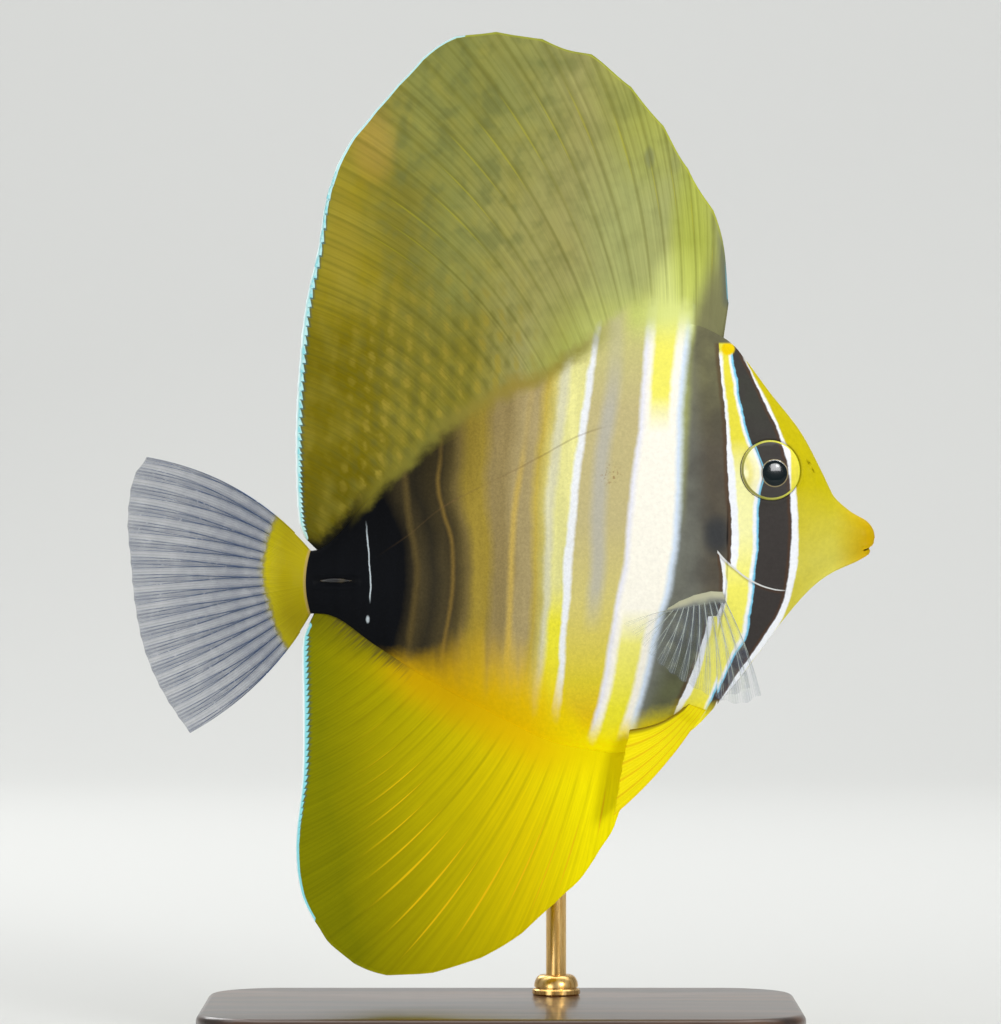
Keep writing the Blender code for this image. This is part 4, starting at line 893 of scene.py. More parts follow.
def toothCounts(fin, edge):
    # how many teeth lie between the start of the pale border and each share of its length
    line = atShare(edge, np.linspace(0, 1, 400))
    step = np.linalg.norm(np.diff(line, axis=0), axis=1)
    pitch = tableAt(fin["toothPitch"], (line[1:, 1] + line[:-1, 1]) / 2)
    return np.linspace(0, 1, 400), np.concatenate([[0.0], np.cumsum(step / pitch)])


def pointValue(tree, name, kind="FLOAT"):
    # reads a value stored on the points
    node = addNode(tree, "GeometryNodeInputNamedAttribute", data_type=kind)
    node.inputs["Name"].default_value = name
    return Wire(node.outputs["Attribute"])


def finishTree(shape, finish, out):
    real = stepOf("GeometryNodeRealizeInstances", {0: shape})
    plug(stepOf("GeometryNodeSetMaterial", {0: real, "Material": finish}), out.inputs[0])


def strandTree():
    # tubes along lines: a tree with named inputs for sides and finish, its radius read from the points
    tree, given, out = newGroup("taperedStrands", [("Lines", "Geometry"), ("Sides", "Int"),
                                                   ("Finish", "Material")],
                                [("Strands", "Geometry")], "GeometryNodeTree")
    radius = pointValue(tree, "strandRadius")
    lines = stepOf("GeometryNodeMeshToCurve", {0: given["Lines"]})
    lines = stepOf("GeometryNodeSetCurveRadius", {"Curve": lines, "Radius": radius})
    ring = stepOf("GeometryNodeCurvePrimitiveCircle", {"Resolution": given["Sides"], "Radius": 1.0})
    tubes = stepOf("GeometryNodeCurveToMesh", {"Curve": lines, "Profile Curve": ring, "Scale": radius,
            "Fill Caps": True})
    finishTree(stepOf("GeometryNodeSetShadeSmooth", {0: tubes}), given["Finish"], out)
    return tree


def lineMesh(name, lines, radii, values=None):
    # separate lines of points as edges, with each point's radius
    points = np.concatenate(lines)
    starts = np.cumsum([0] + [len(line) for line in lines])
    edges = [(a + k, a + k + 1) for a, line in zip(starts, lines) for k in range(len(line) - 1)]
    mesh = bpy.data.meshes.new(name)
    shifted = points + np.array([0, 0, axisHeight])
    mesh.from_pydata((shifted * mm).tolist(), edges, [])
    columns = {"strandRadius": np.concatenate(radii) * mm, **{k: np.concatenate(c)
            for k, c in (values or {}).items()}}
    for key, column in columns.items():
        mesh.attributes.new(key, "FLOAT", "POINT").data.foreach_set("value", np.asarray(column, np.float32))
    return mesh


def grown(name, mesh, tree, inputs):
    # runs a Geometry Nodes tree on a mesh and keeps the plain result
    holder = bpy.data.objects.new(name, mesh)
    bpy.context.scene.collection.objects.link(holder)
    modifier = holder.modifiers.new(tree.name, "NODES")
    modifier.node_group = tree
    sockets = {item.name: item.identifier for item in tree.interface.items_tree if item.in_out == "INPUT"}
    for key, value in inputs.items():
        modifier[sockets[key]] = value
    bpy.context.view_layer.update()
    graph = bpy.context.evaluated_depsgraph_get()
    done = bpy.data.meshes.new_from_object(holder.evaluated_get(graph))
    done.name = name
    bpy.data.objects.remove(holder)
    return done


strands = strandTree()


def branchedRays(name, fin, grid, place, along, values, finish, start=0.02, end=0.985, spread=0.2):
    # each ray as one stem that forks along its length, with the fin's own values at each of its points
    lines, radii, places = [], [], []
    layers = np.concatenate([grid, np.stack([values[key] for key in values], axis=-1)], axis=-1)
    readAt = gridReader(layers, place, along)
    forks, thick, spines, points = fin["forks"], fin["strand"], fin.get("spines", 0), fin.get("points", 26)
    for ray in range(fin["rays"]):
        levels = [0.0] + ([] if ray < spines else forks)
        for level, fork in enumerate(levels):
            count = 2**level
            following = levels[level + 1] if level + 1 < len(levels) else end
            v = np.linspace(fork if level else start, following, max(4, int(points * (following - fork)) + 2))
            for branch in range(count):
                offset = np.zeros(len(v))
                for step in range(level):
                    sign = 1 if (branch >> step) & 1 else -1
                    opened = smoothStep(v, levels[step + 1], min(levels[step + 1] + 0.45, 1.2))
                    offset += sign * spread * opened / 2**step
                count01 = np.clip(ray + offset, 0, fin["rays"] - 1) / (fin["rays"] - 1)
                read = readAt(count01, v)
                lines.append(read[:, :3])
                places.append(read[:, 3:])
                radii.append((thick[0] + (thick[1] - thick[0]) * v) / (1.0 + 0.3 * level))
    carried = {key: [part[:, k] for part in places] for k, key in enumerate(values)}
    return grown(name, lineMesh(name, lines, radii, carried), strands, {"Sides": 6, "Finish": finish})


def gridReader(grid, place, v):
    # reads points of a fin's middle surface at any place and share
    def read(at, share):
        i = np.interp(at, place, np.arange(len(place)))
        j = np.interp(share, v, np.arange(len(v)))
        i0, j0 = (np.clip(np.floor(i).astype(int), 0, len(place) - 2),
                  np.clip(np.floor(j).astype(int), 0, len(v) - 2))
        a, b = (i - i0)[:, None], (j - j0)[:, None]
        return ((1 - a) * (1 - b) * grid[i0, j0] + a * (1 - b) * grid[i0 + 1, j0]
                + (1 - a) * b * grid[i0, j0 + 1] + a * b * grid[i0 + 1, j0 + 1])
    return read


def toothTree():
    # small saw teeth, one on each point of a mesh, laid along the directions stored there
    tree, given, out = newGroup("marginTeeth", [("Points", "Geometry"), ("Long", "Float"),
                                                ("Deep", "Float"), ("Thick", "Float"), ("Seed", "Int"),
                                                ("Finish", "Material")],
                                [("Teeth", "Geometry")], "GeometryNodeTree")
    outline = addNode(tree, "GeometryNodeCurvePrimitiveQuadrilateral", mode="POINTS")
    for k, corner in enumerate(((0.0, -0.1), (1.0, -0.1), (1.0, 1.0), (0.0, 0.12)), 1):
        outline.inputs[f"Point {k}"].default_value = (*corner, -0.5)
    plate = stepOf("GeometryNodeFillCurve", {0: Wire(outline.outputs[0])}, mode="NGONS")
    both = addNode(tree, "GeometryNodeJoinGeometry")
    plug(stepOf("GeometryNodeFlipFaces", {"Mesh": plate}), both.inputs[0])
    raised = {"Mesh": plate, "Offset": (0.0, 0.0, 1.0), "Individual": False}
    plug(stepOf("GeometryNodeExtrudeMesh", raised, "Mesh", mode="FACES"), both.inputs[0])
    shape = stepOf("GeometryNodeMergeByDistance", {0: Wire(both.outputs[0])})
    along, face = (pointValue(tree, key, "FLOAT_VECTOR") for key in ("toothAlong", "toothFace"))
    pitch, depth = (stepOf("ShaderNodeVectorMath", {0: arrow}, "Value", operation="LENGTH")
                    for arrow in (along, face))
    facing = stepOf("FunctionNodeAlignRotationToVector", {"Vector": face}, axis="Z")
    turned = stepOf("FunctionNodeAlignRotationToVector", {"Rotation": facing, "Vector": along}, axis="X",
                    pivot_axis="Z")
    vary = stepOf("FunctionNodeRandomValue", {"Seed": given["Seed"], 2: 0.82, 3: 1.08}, 1, data_type="FLOAT")
    size = {0: pitch * given["Long"], 1: depth * given["Deep"] * vary, 2: given["Thick"]}
    placed = {"Points": given["Points"], "Instance": shape, "Rotation": turned,
              "Scale": stepOf("ShaderNodeCombineXYZ", size)}
    finishTree(stepOf("GeometryNodeInstanceOnPoints", placed), given["Finish"], out)
    return tree


teeth = toothTree()
tooth = {"long": 0.86, "deep": 0.46, "thick": 0.2, "foot": 0.42}


def marginTeeth(name, fin, grid, place, finish):
    # saw teeth on the inner side of the pale border, each widening towards the body
    low, high = fin["edges"]["marginGap"]
    edge = grid[(place >= low) & (place <= high)][:, -1]
    share, count = toothCounts(fin, edge[:, [0, 2]])
    starts = np.interp(np.arange(0, np.floor(count[-1])), count, share)
    line = atShare(edge, starts)
    along = atShare(edge, np.minimum(starts + 0.002, 1.0)) - line
    along /= np.maximum(np.linalg.norm(along, axis=1, keepdims=True), 1e-9)
    inward = np.column_stack([along[:, 2], 0 * along[:, 0], -along[:, 0]])
    inward *= np.sign(np.sum(inward * (grid[len(grid) // 2, 0] - line), axis=1, keepdims=True))
    width = tableAt(fin["rimWidth"], line[:, 2])
    kept = (width > 0.33) & (starts < 0.985)
    foot = line + inward * (width * tooth["foot"])[:, None]
    face = np.cross(along, inward) * width[:, None]
    pitch = tableAt(fin["toothPitch"], line[:, 2])[:, None]
    mesh = bpy.data.meshes.new(name)
    mesh.from_pydata(((foot[kept] + [0, 0, axisHeight]) * mm).tolist(), [], [])
    for key, column in (("toothAlong", along * pitch * mm), ("toothFace", face * mm)):
        mesh.attributes.new(key, "FLOAT_VECTOR", "POINT").data.foreach_set(
            "vector", column[kept].astype(np.float32).ravel())
    return grown(name, mesh, teeth, {"Long": tooth["long"], "Deep": tooth["deep"],
                                     "Thick": tooth["thick"] * mm, "Seed": 3, "Finish": finish})


# Finishes of the fins

def reading(tree, name):
    return Wire(addNode(tree, "ShaderNodeAttribute", attribute_name=name).outputs["Fac"])


def finCoordinates(tree):
    # ray count, share along the ray, and how far the nearest ray is, as a share of the space between two
    count, share = reading(tree, "rayCount"), reading(tree, "rayShare")
    offset = abs(mathOf("FRACT", count + 0.5) - 0.5)
    return stepOf("ShaderNodeCombineXYZ", {0: count, 1: share}), count, share, offset


def sideView(place):
    across = axesOf(place)
    return across[0] * (1 / mm), across[2] * (1 / mm) - axisHeight


def rimTone(tree, place, colour, fin, width):
    # the pale border along a fin's rear edge: saw teeth parted by short dark lines
    gap = reading(tree, "marginGap") / width
    ragged = noiseOf(place, 1800.0, 2.0, 0.5) - 0.5
    toothed = ranged(width, 0.33, 0.55)
    saw = mathOf("FRACT", reading(tree, "toothCount") + ragged * 0.08)
    reach = (saw - 1.0) * (toothed * 0.38) + 1.0
    reach = reach + ragged * 0.15
    outside = gap - reach
    colour = mixed(ranged(outside, 0.05, 0.5, 0.5, 0.0) * toothed, colour, "notch")
    shade = mixed(ranged(gap, 0.1, 0.38), "rimWhite", fin["rimInner"])
    between = abs(mathOf("FRACT", saw + 0.57) - 0.5)
    line = ranged(between, 0.04, 0.11, 0.85, 0.0) * ranged(gap, 0.35, 0.6)
    shade = mixed(line * toothed, shade, "notch")
    return mixed(ranged(outside, -0.08, 0.05, 1.0, 0.0), colour, shade)


def forkStreak(count, share, centre, reach, wide=0.06):
    # a bright tapered streak on each ray about where it forks, its place varying from ray to ray
    own = stepOf("ShaderNodeTexWhiteNoise", {"W": mathOf("ROUND", count)}, noise_dimensions="1D")
    middle = centre - 0.08 + own * 0.16
    far = abs(share - middle) / reach
    near = abs(mathOf("FRACT", count + 0.45) - 0.5)
    width = ranged(far, 0.0, 1.0, wide, wide / 3, False)
    line = ranged(near / width, 0.35, 1.0, 1.0, 0.0)
    return line * ranged(far, 0.3, 1.0, 1.0, 0.0)


def fibrous(flat, colour, low, high):
    # fine fibres running along the rays
    fibres = noiseOf(flat, 7.0, 4.0, 0.7, (1.0, 0.22, 1.0))
    return grained(colour, fibres, low, high)


def dorsalFinish():
    finish, tree, shader, place = newFinish("dorsalMembrane", roughness=0.6, coat=0.01, coatRoughness=0.3,
                                            specular=0.03)
    flat, count, share, offset = finCoordinates(tree)
    x, z = sideView(place)
    cloudy = noiseOf(place, 120.0, 4.0, 0.6) - 0.5
    fine = noiseOf(place, 900.0, 3.0, 0.6) - 0.5
    # from the bright front, over the olive top, to the dark rear
    drift = x + cloudy * 6.0
    height = z + cloudy * 8.0
    colour = rampOf(drift, dorsal["lowTones"], -24.0, 26.0)
    colour = mixed(ranged(height, 21.0, 32.0), colour, rampOf(drift, dorsal["midTones"], -24.0, 26.0))
    colour = mixed(ranged(height, 37.0, 48.0), colour, rampOf(drift, dorsal["topTones"], -24.0, 26.0))
    lowRear = ranged(height, 2.5, 13.5, 1.0, 0.0) * ranged(x, -20.0, -6.0, 0.5, 0.7)
    colour = mixed(lowRear, colour, "finLowDark")
    warm = ranged(noiseOf(place, 310.0, 2.0, 0.5, (1.0, 1.0, 0.7)), 0.4, 0.75) * 0.35
    colour = mixed(warm * ranged(x, 0.0, 10.0, 1.0, 0.2), colour, "finWarm")
    mottle = ranged(noiseOf(place, 420.0, 2.5, 0.55), 0.42, 0.7) * ranged(z, 20.0, 40.0, 0.15, 0.62)
    mottle = mottle * (ranged(x, -16.0, -10.0, 0.2, 1.0) * ranged(x, 3.0, 13.0, 1.0, 0.35))
    colour = mixed(mottle, colour, "finGrey")
    # soft patches: the bright foot and front, the amber ones near the rear edge, the two grey spots
    for name, centre, wide, tall, strength in dorsal["patches"]:
        mask = spotMask(x, z, centre, wide, tall) * strength
        colour = mixed(mask, colour, name)
    # tan spots and grey ones by turns between two rays, across the rear half, in nearly upright columns
    rowWave = mathOf("COSINE", (count + 0.5) * (2 * math.pi))
    leaning = x + z * -0.08
    column = cloudy * 3.0 + leaning * (2 * math.pi / 1.95)
    checks = mathOf("COSINE", column) * 0.45 + rowWave * 0.28
    patchy = noiseOf(place, 620.0, 2.0, 0.6) - 0.5
    checks = checks + fine * 1.5 + patchy * 1.5
    zone = ranged(x, -19.0, -12.0, 0.2, 1.0) * ranged(x, -1.0, 7.0, 1.0, 0.0)
    zone = zone * ranged(z, 22.0, 36.0, 1.0, 0.0)
    zone = zone * ranged(z, 8.0, 20.0, 1.3, 1.0)
    for low, high, spot, strength in ((0.15, 0.85, "finTan", 0.62), (0.0, -0.8, "finBlotch", 0.42)):
        mask = ranged(checks, low, high) * zone * strength
        colour = mixed(mask, colour, spot)
    # ray lines, dark, with a bright streak at each fork
    ofTop = mathOf("MAXIMUM", ranged(z, 24.0, 38.0), ranged(x, 2.0, 10.0))
    rayLine = ranged(offset + fine * 0.06, 0.0, 0.13, 1.0, 0.0)
    rayShare = ranged(share, 0.02, 0.3, 0.5, 1.0) * ranged(ofTop, 0.0, 1.0, 0.7, 0.8)
    colour = mixed(rayLine * rayShare * 0.46, colour, "finRay")
    branch = ranged(abs(offset - 0.3), 0.0, 0.07, 1.0, 0.0)
    colour = mixed(branch * ranged(share, 0.35, 0.7, 0.0, 0.22), colour, "finRay")
    colour = fibrous(flat, colour, 0.86, 1.13)
    thinLines = mathOf("SINE", fine * 2.0 + count * (2 * math.pi * 5))
    colour = shaded(ranged(thinLines, 0.2, 1.0) * 0.2, colour, 0.9)
    streak = forkStreak(count, share, 0.64, 0.16, 0.05) * ofTop
    colour = mixed(streak * 0.24, colour, "finStreak")
    # the dark second bar runs on up the front of the fin, and the other bars into its foot
    barLeft = curveOf(z, [(15.0, 20.2), (19.7, 20.3), (24.6, 20.4), (28.4, 21.3), (30.8, 22.3),
                          (38.0, 24.4)], (15.0, 38.0), (18.0, 26.0))
    bar = ranged(x - barLeft + cloudy * 1.5, -1.3, 1.3)
    bar = bar * ranged(z, 27.0, 38.0, 0.9, 0.0)
    colour = mixed(bar, colour, "barTwoTop")
    flank = placeGroup(markings, Place=place)
    above = flank["Back"] * -1.0 + cloudy * 3.0
    above = above + fine * 2.0
    reach = ranged(x, 11.0, 15.0, 2.4, 3.0)
    foot = ranged(above / reach, 0.1, 1.0, 1.0, 0.0)
    foot = foot * ranged(x, 19.8, 21.0, 0.95, 0.3)
    colour = mixed(foot, colour, flank["Color"])
    frontGap = reading(tree, "frontGap")
    high = ranged(z, 30.0, 36.0)
    colour = mixed(ranged(frontGap, 0.05, 0.3, 0.7, 0.0) * high, colour, "finEdge")
    low = ranged(frontGap, 0.1, 1.0, 0.75, 0.0) * ranged(z, 31.0, 38.0, 1.0, 0.0)
    colour = mixed(low * ranged(x, 18.0, 21.0), colour, "finSmoke")
    edgeLine = ranged(frontGap, 0.06, 0.2, 0.8, 0.0) * ranged(z, 22.5, 24.0)
    colour = mixed(edgeLine * ranged(z, 29.5, 32.5, 1.0, 0.0), colour, "frontRim")
    colour = rimTone(tree, place, colour, dorsal, curveOf(z, dorsal["rimWidth"], (0.0, 60.0), (0.0, 1.0)))
    plug(colour, shader.inputs["Base Color"])
    grain = noiseOf(place, 1400.0, 3.0, 0.6) + thinLines * 0.07
    bumped(shader, grain, 0.00005, 0.6)
    return finish


def analFinish():
    finish, tree, shader, place = newFinish("analMembrane", roughness=0.6, coat=0.01, coatRoughness=0.3,
                                            specular=0.03)
    flat, count, share, offset = finCoordinates(tree)
    x, z = sideView(place)
    cloudy = noiseOf(place, 140.0, 3.0, 0.55) - 0.5
    fine = noiseOf(place, 900.0, 3.0, 0.6) - 0.5
    drift = x + 4.6 + cloudy * 4.0 + z * 0.16
    colour = rampOf(drift, [(-18, "analLow"), (-13, "analRear"), (-5, "analMid"), (3, "analWarm"),
                            (10, "analFront"), (17, "analFront")], -22.0, 18.0)
    rayLine = ranged(offset + fine * 0.06, 0.0, 0.15, 1.0, 0.0)
    rayFade = ranged(share, 0.15, 0.8, 0.85, 0.25) * ranged(x, 4.0, 12.0, 1.0, 0.6)
    colour = shaded(rayLine * rayFade, colour, 0.78)
    branch = ranged(abs(offset - 0.3), 0.0, 0.08, 1.0, 0.0)
    colour = shaded(branch * ranged(share, 0.3, 0.7, 0.0, 0.5), colour, 0.88)
    colour = fibrous(flat, colour, 0.88, 1.1)
    thinLines = mathOf("SINE", fine * 2.0 + count * (2 * math.pi * 5))
    thinShare = ranged(x, -8.0, -18.0, 0.12, 0.5) * ranged(thinLines, 0.2, 1.0)
    colour = shaded(thinShare, colour, 0.82)
    streak = forkStreak(count, share, 0.62, 0.27) * ranged(x, -16.0, -9.0)
    colour = mixed(streak * 0.95, colour, "analStreak")
    flank = placeGroup(markings, Place=place)
    rootGap = reading(tree, "rootGap") + cloudy * 2.5
    gold = ranged(rootGap, 1.0, 5.5, 0.95, 0.0) * ranged(x, -14.5, -9.0, 0.35, 1.0)
    colour = mixed(gold, colour, flank["Color"])
    # dark comb along the root, below the black of the stalk
    comb = ranged(noiseOf(flat, 4.6, 2.0, 0.6, (1.0, 0.02, 1.0)), 0.36, 0.66, 0.6, 2.6)
    comb = ranged(reading(tree, "rootGap") - comb, -1.0, 0.7, 0.6, 0.0)
    zone = ranged(x, -19.0, -17.2) * ranged(x, -11.4, -9.0, 1.0, 0.0)
    colour = mixed(comb * zone, colour, "umber")
    colour = rimTone(tree, place, colour, anal, curveOf(z, anal["rimWidth"], (-50.0, 0.0), (0.0, 1.0)))
    plug(colour, shader.inputs["Base Color"])
    bumped(shader, noiseOf(place, 1400.0, 3.0, 0.6) + thinLines * 0.1, 0.00005, 0.6)
    return finish


def rayFinish(name, near, far, roughness=0.45, specks=0.0, clear=1.0, base=None):
    # rays of the clear fins: one tone at the root, another at the tip, joints as fine rings
    finish, tree, shader, place = newFinish(name, roughness=roughness, coat=0.03, specular=0.15)
    share = reading(tree, "rayShare")
    colour = mixed(ranged(share, 0.0, 1.0, smooth=False), near, far)
    colour = grained(colour, noiseOf(place, 1500.0, 3.0, 0.6), 0.75, 1.2)
    if specks:
        bright = ranged(noiseOf(place, 2600.0, 1.0), 0.66, 0.72) * specks
        colour = mixed(bright, colour, "whiteCool")
    if base:
        mask, baseColour = base(tree, place, *sideView(place))
        colour = mixed(mask, colour, baseColour)
    plug(colour, shader.inputs["Base Color"])
    clearness = ranged(share, 0.4, 1.0, clear, clear * 0.6)
    if name == "pectoralRay":
        clearness = clearness * ranged(reading(tree, "rayCount"), 6.5, 12.0, 1.0, 0.35)
    plug(clearness, shader.inputs["Alpha"])
    joints = mathOf("SINE", reading(tree, "rootGap") * 24.0)
    bumped(shader, joints, 0.00002, 0.4)
    return finish


def filmFinish(name, shade, otherShade, thin, thick, base=None):
    # clear membrane between the rays: mostly see-through, denser at its root
    finish, tree, shader, place = newFinish(name, roughness=0.35, coat=0.03, specular=0.12)
    flat, count, share, offset = finCoordinates(tree)
    x, z = sideView(place)
    cloudy = noiseOf(place, 500.0, 3.0, 0.6)
    fibres = mathOf("SINE", count * (2 * math.pi * 6))
    alpha = ranged(offset, 0.05, 0.42, thick, thin)
    alpha = alpha * ranged(share, 0.25, 1.0, 1.0, 0.55)
    alpha = alpha * ranged(cloudy, 0.3, 0.7, 0.8, 1.2, False)
    alpha = alpha + ranged(fibres, 0.2, 1.0) * 0.06
    colour = mixed(ranged(cloudy, 0.45, 0.7), shade, otherShade)
    if name == "pectoralFilm":
        alpha = alpha * ranged(count, 6.0, 11.0, 1.0, 0.2)
    if base:
        mask, baseColour = base(tree, place, x, z)
        colour = mixed(mask, colour, baseColour)
        alpha = mathOf("MAXIMUM", alpha, mask)
    plug(colour, shader.inputs["Base Color"])
    plug(alpha, shader.inputs["Alpha"])
    bumped(shader, fibres, 0.00003, 0.5)
    return finish


def tailBase(tree, place, x, z):
    # the yellow crescent at the tail fin's root, with a pale pink painted highlight along the edge where it
    # leaves the black stalk
    edge = curveOf(z, [(q, p) for p, q in tail["crescent"]], (-12.0, 8.0), (-30.0, -18.0))
    ragged = noiseOf(place, 1200.0, 2.0, 0.6) - 0.5
    gap = x - edge + ragged * 0.9
    colour = mixed(ranged(gap, 0.3, 2.2), "tailYellowPale", "tailYellow")
    # painted highlight: a thin pale pink line along the root
    colour = mixed(ranged(reading(tree, "rootGap"), 0.1, 0.4, 0.45, 0.0), colour, "tailRootHighlight")
    colour = fibrous(finCoordinates(tree)[0], colour, 0.84, 1.1)
    middle = curveOf(z, [(-6.0, 1.0), (-3.0, 0.3), (-0.8, 0.0), (1.6, 0.3), (4.4, 1.0)], (-8.0, 6.0),
                     (0.0, 1.0))
    return ranged(gap, -0.7, 0.45), shaded(middle, colour, 0.72)


def pectoralBase(tree, place, x, z):
    return ranged(reading(tree, "rootGap"), 0.9, 2.3, 0.95, 0.0), "pectoralBase"


def pelvicFinish():
    finish, tree, shader, place = newFinish("pelvicMembrane", roughness=0.5, coat=0.02, specular=0.08)
    flat, count, share, offset = finCoordinates(tree)
    colour = mixed(ranged(offset, 0.03, 0.14, 0.5, 0.0), "pelvic", "analOrange")
    thinLines = mathOf("SINE", count * (2 * math.pi * 4))
    colour = fibrous(flat, colour, 0.9, 1.06)
    # painted shadow: a dark line along the fin's inner edge, where it lies against the belly
    colour = mixed(ranged(count, 4.55, 4.95, 0.0, 0.75), colour, "pelvicEdgeShadow")
    plug(colour, shader.inputs["Base Color"])
    bumped(shader, thinLines, 0.00003, 0.4)
    return finish


def rimFinish():
    finish, tree, shader, place = newFinish("finRim", roughness=0.35, coat=0.2)
    shift = ranged(noiseOf(place, 1800.0, 2.0), 0.4, 0.6)
    plug(mixed(shift, "rimCyan", "rimPale"), shader.inputs["Base Color"])
    return finish


# Pieces of the fish

def stationShares():
    even = np.linspace(0, 1, body["flankSteps"] + 1)
    return body["evenShare"] * even + (1 - body["evenShare"]) * (0.5 - 0.5 * np.cos(np.pi * even))


def tailRoot(share):
    return body["tailRootX"] + body["tailRootBulge"] * (2 * share - 1)**2


def skinStations():
    # each station gives x for every height share; the ones near the gill opening follow it closely
    share = stationShares()
    first, last = gill["stepStations"][0], gill["stepStations"][-1]
    makers = [lambda z, t=t: body["snoutX"] * (1 - t) + (gillXAt(z) + first) * t
              for t in np.linspace(0, 1, body["headStations"], endpoint=False)**body["snoutCrowding"]]
    makers += [lambda z, o=o: gillXAt(z) + o for o in gill["stepStations"]]
    makers += [lambda z, t=t: (gillXAt(z) + last) * (1 - t) + body["stalkX"] * t
               for t in np.linspace(0, 1, body["torsoStations"])[1:]]
    makers += [lambda z, t=t: body["stalkX"] * (1 - t) + tailRoot(share) * t
               for t in np.linspace(0, 1, body["stalkStations"])[1:]]
    for maker in makers:
        x = maker(0 * share)
        for _ in range(8):
            low, high = bellyAt(x), backAt(x)
            z = low + (high - low) * share
            x = maker(z)
        yield x, bellyAt(x) + (backAt(x) - bellyAt(x)) * share


def makeSkin():
    flank = np.array([np.column_stack(station) for station in skinStations()])
    x, z = flank[..., 0], flank[..., 1]
    raised, hollowShade = relief(x, z)
    room = plainWidth(x, z)
    width = room + raised * smoothStep(room, 0.05, 0.5)
    width[:, 0] = width[:, -1] = 0
    side = np.stack([x, -width, z], axis=-1)
    # the mouth is pressed in along the surface's own direction, with a lip on each side of it
    outward = surfaceNormals(side)
    outward *= np.sign(outward[..., 1:2] * -1 + 1e-9)
    gap, share = lineGap(x, z, face["mouth"])
    reach = smoothStep(1 - share, 0.0, 0.35)
    slit = np.exp(-(gap / face["mouthWidth"])**2) * reach
    lips = np.exp(-((gap - 0.42) / 0.24)**2) * reach
    front = np.stack([smoothStep(x, 38.6, 39.7), -1 + smoothStep(x, 38.6, 39.7), 0 * x], axis=-1)
    push = np.where(x[..., None] > 38.6, front, outward)
    side = (side + outward * (face["lipRidge"] * lips)[..., None]
            - push * (face["mouthDepth"] * slit)[..., None])
    side[..., 1] = np.minimum(side[..., 1], 0)
    side[:, 0, 1] = side[:, -1, 1] = 0
    # painted shade in the mouth slit
    hollowShade = np.maximum(hollowShade, slit)
    ring = np.concatenate([side, (side * (1, -1, 1))[:, -2:0:-1]], axis=1)
    around = lambda values: np.concatenate([values, values[:, -2:0:-1]], axis=1)
    count, columns = ring.shape[:2]
    points = np.concatenate([ring.reshape(-1, 3), [[40.0, 0, body["snoutLevel"]],
            [ring[-1, :, 0].mean() - 0.1, 0, -2.3]]])
    points[:, 2] += axisHeight
    values = {"hollowShade": np.append(around(hollowShade), [0, 0])}
    mesh = meshFrom("skin", points, cappedFaces(count, columns), values)
    addPiece("skin", mesh, skinFinish(), ("head", "torso", "tail_stalk"))
    print("skin:", len(mesh.polygons), "faces")


def eyePlace(side):
    outward = flankNormal(face["eyeX"], face["eyeZ"])
    outward.y *= -side
    skin = Vector((face["eyeX"], side * float(plainWidth(face["eyeX"], face["eyeZ"])),
                   face["eyeZ"] + axisHeight))
    return skin - outward * face["eyeSink"], outward


eye = {"rings": 60, "turns": 128, "pupilShift": (0.24, -0.4), "pupilRadius": 1.38, "ringRadius": 3.1}


def eyeFinish():
    finish, tree, shader, place = newFinish("eye", roughness=0.16, coat=0.35, coatRoughness=0.03,
                                            specular=0.15)
    x, z = sideView(place)
    radius, pupilGap = reading(tree, "eyeRadius"), reading(tree, "pupilGap")
    colour = placeGroup(markings, Place=place)["Color"]
    line = curveOf(z, [(2.0, 27.5), (6.5, 27.35), (7.6, 27.6), (9.2, 27.95), (11.3, 27.35), (13.0, 26.7)],
                   (2.0, 14.0), (20.0, 34.0))
    inner = x - line
    colour = mixed(ranged(inner, -0.3, -0.02, 0.9, 0.0), colour, "whiteLine")
    colour = mixed(ranged(inner, -0.62, -0.26, 0.95, 0.0), colour, "irisCream")
    colour = mixed(ranged(inner, -1.5, -0.7, 0.55, 0.0) * ranged(inner, -2.3, -1.5), colour, "irisYellow")
    colour = mixed(ranged(x, 30.72, 30.95) * ranged(z, 5.6, 7.0), colour, "irisYellow")
    colour = mixed(ranged(abs(inner), 0.04, 0.12, 0.8, 0.0), colour, "cyanRim")
    colour = grained(colour, noiseOf(place, 1800.0, 3.0, 0.6), 0.93, 1.05)
    ringGap = abs(radius - eye["ringRadius"])
    lit = (x - face["eyeX"]) * 0.14 + (z - face["eyeZ"]) * 0.05
    ringTone = rampOf(lit, [(-0.5, "olive"), (-0.1, "eyeRing"), (0.45, "eyeRingLit")], -0.6, 0.6)
    colour = mixed(ranged(ringGap, 0.07, 0.15, 0.95, 0.0), colour, ringTone)
    # painted shade round the eye's edge, where it sinks into the socket
    colour = mixed(ranged(radius, 3.2, 3.26), colour, "paintedShade")
    pupilRing = abs(pupilGap - (eye["pupilRadius"] + 0.06))
    colour = mixed(ranged(pupilGap, eye["pupilRadius"] - 0.05, eye["pupilRadius"], 1.0, 0.0), colour,
                   "pupil")
    colour = mixed(ranged(pupilRing, 0.02, 0.08, 0.85, 0.0), colour, "pupilRing")
    plug(colour, shader.inputs["Base Color"])
    return finish


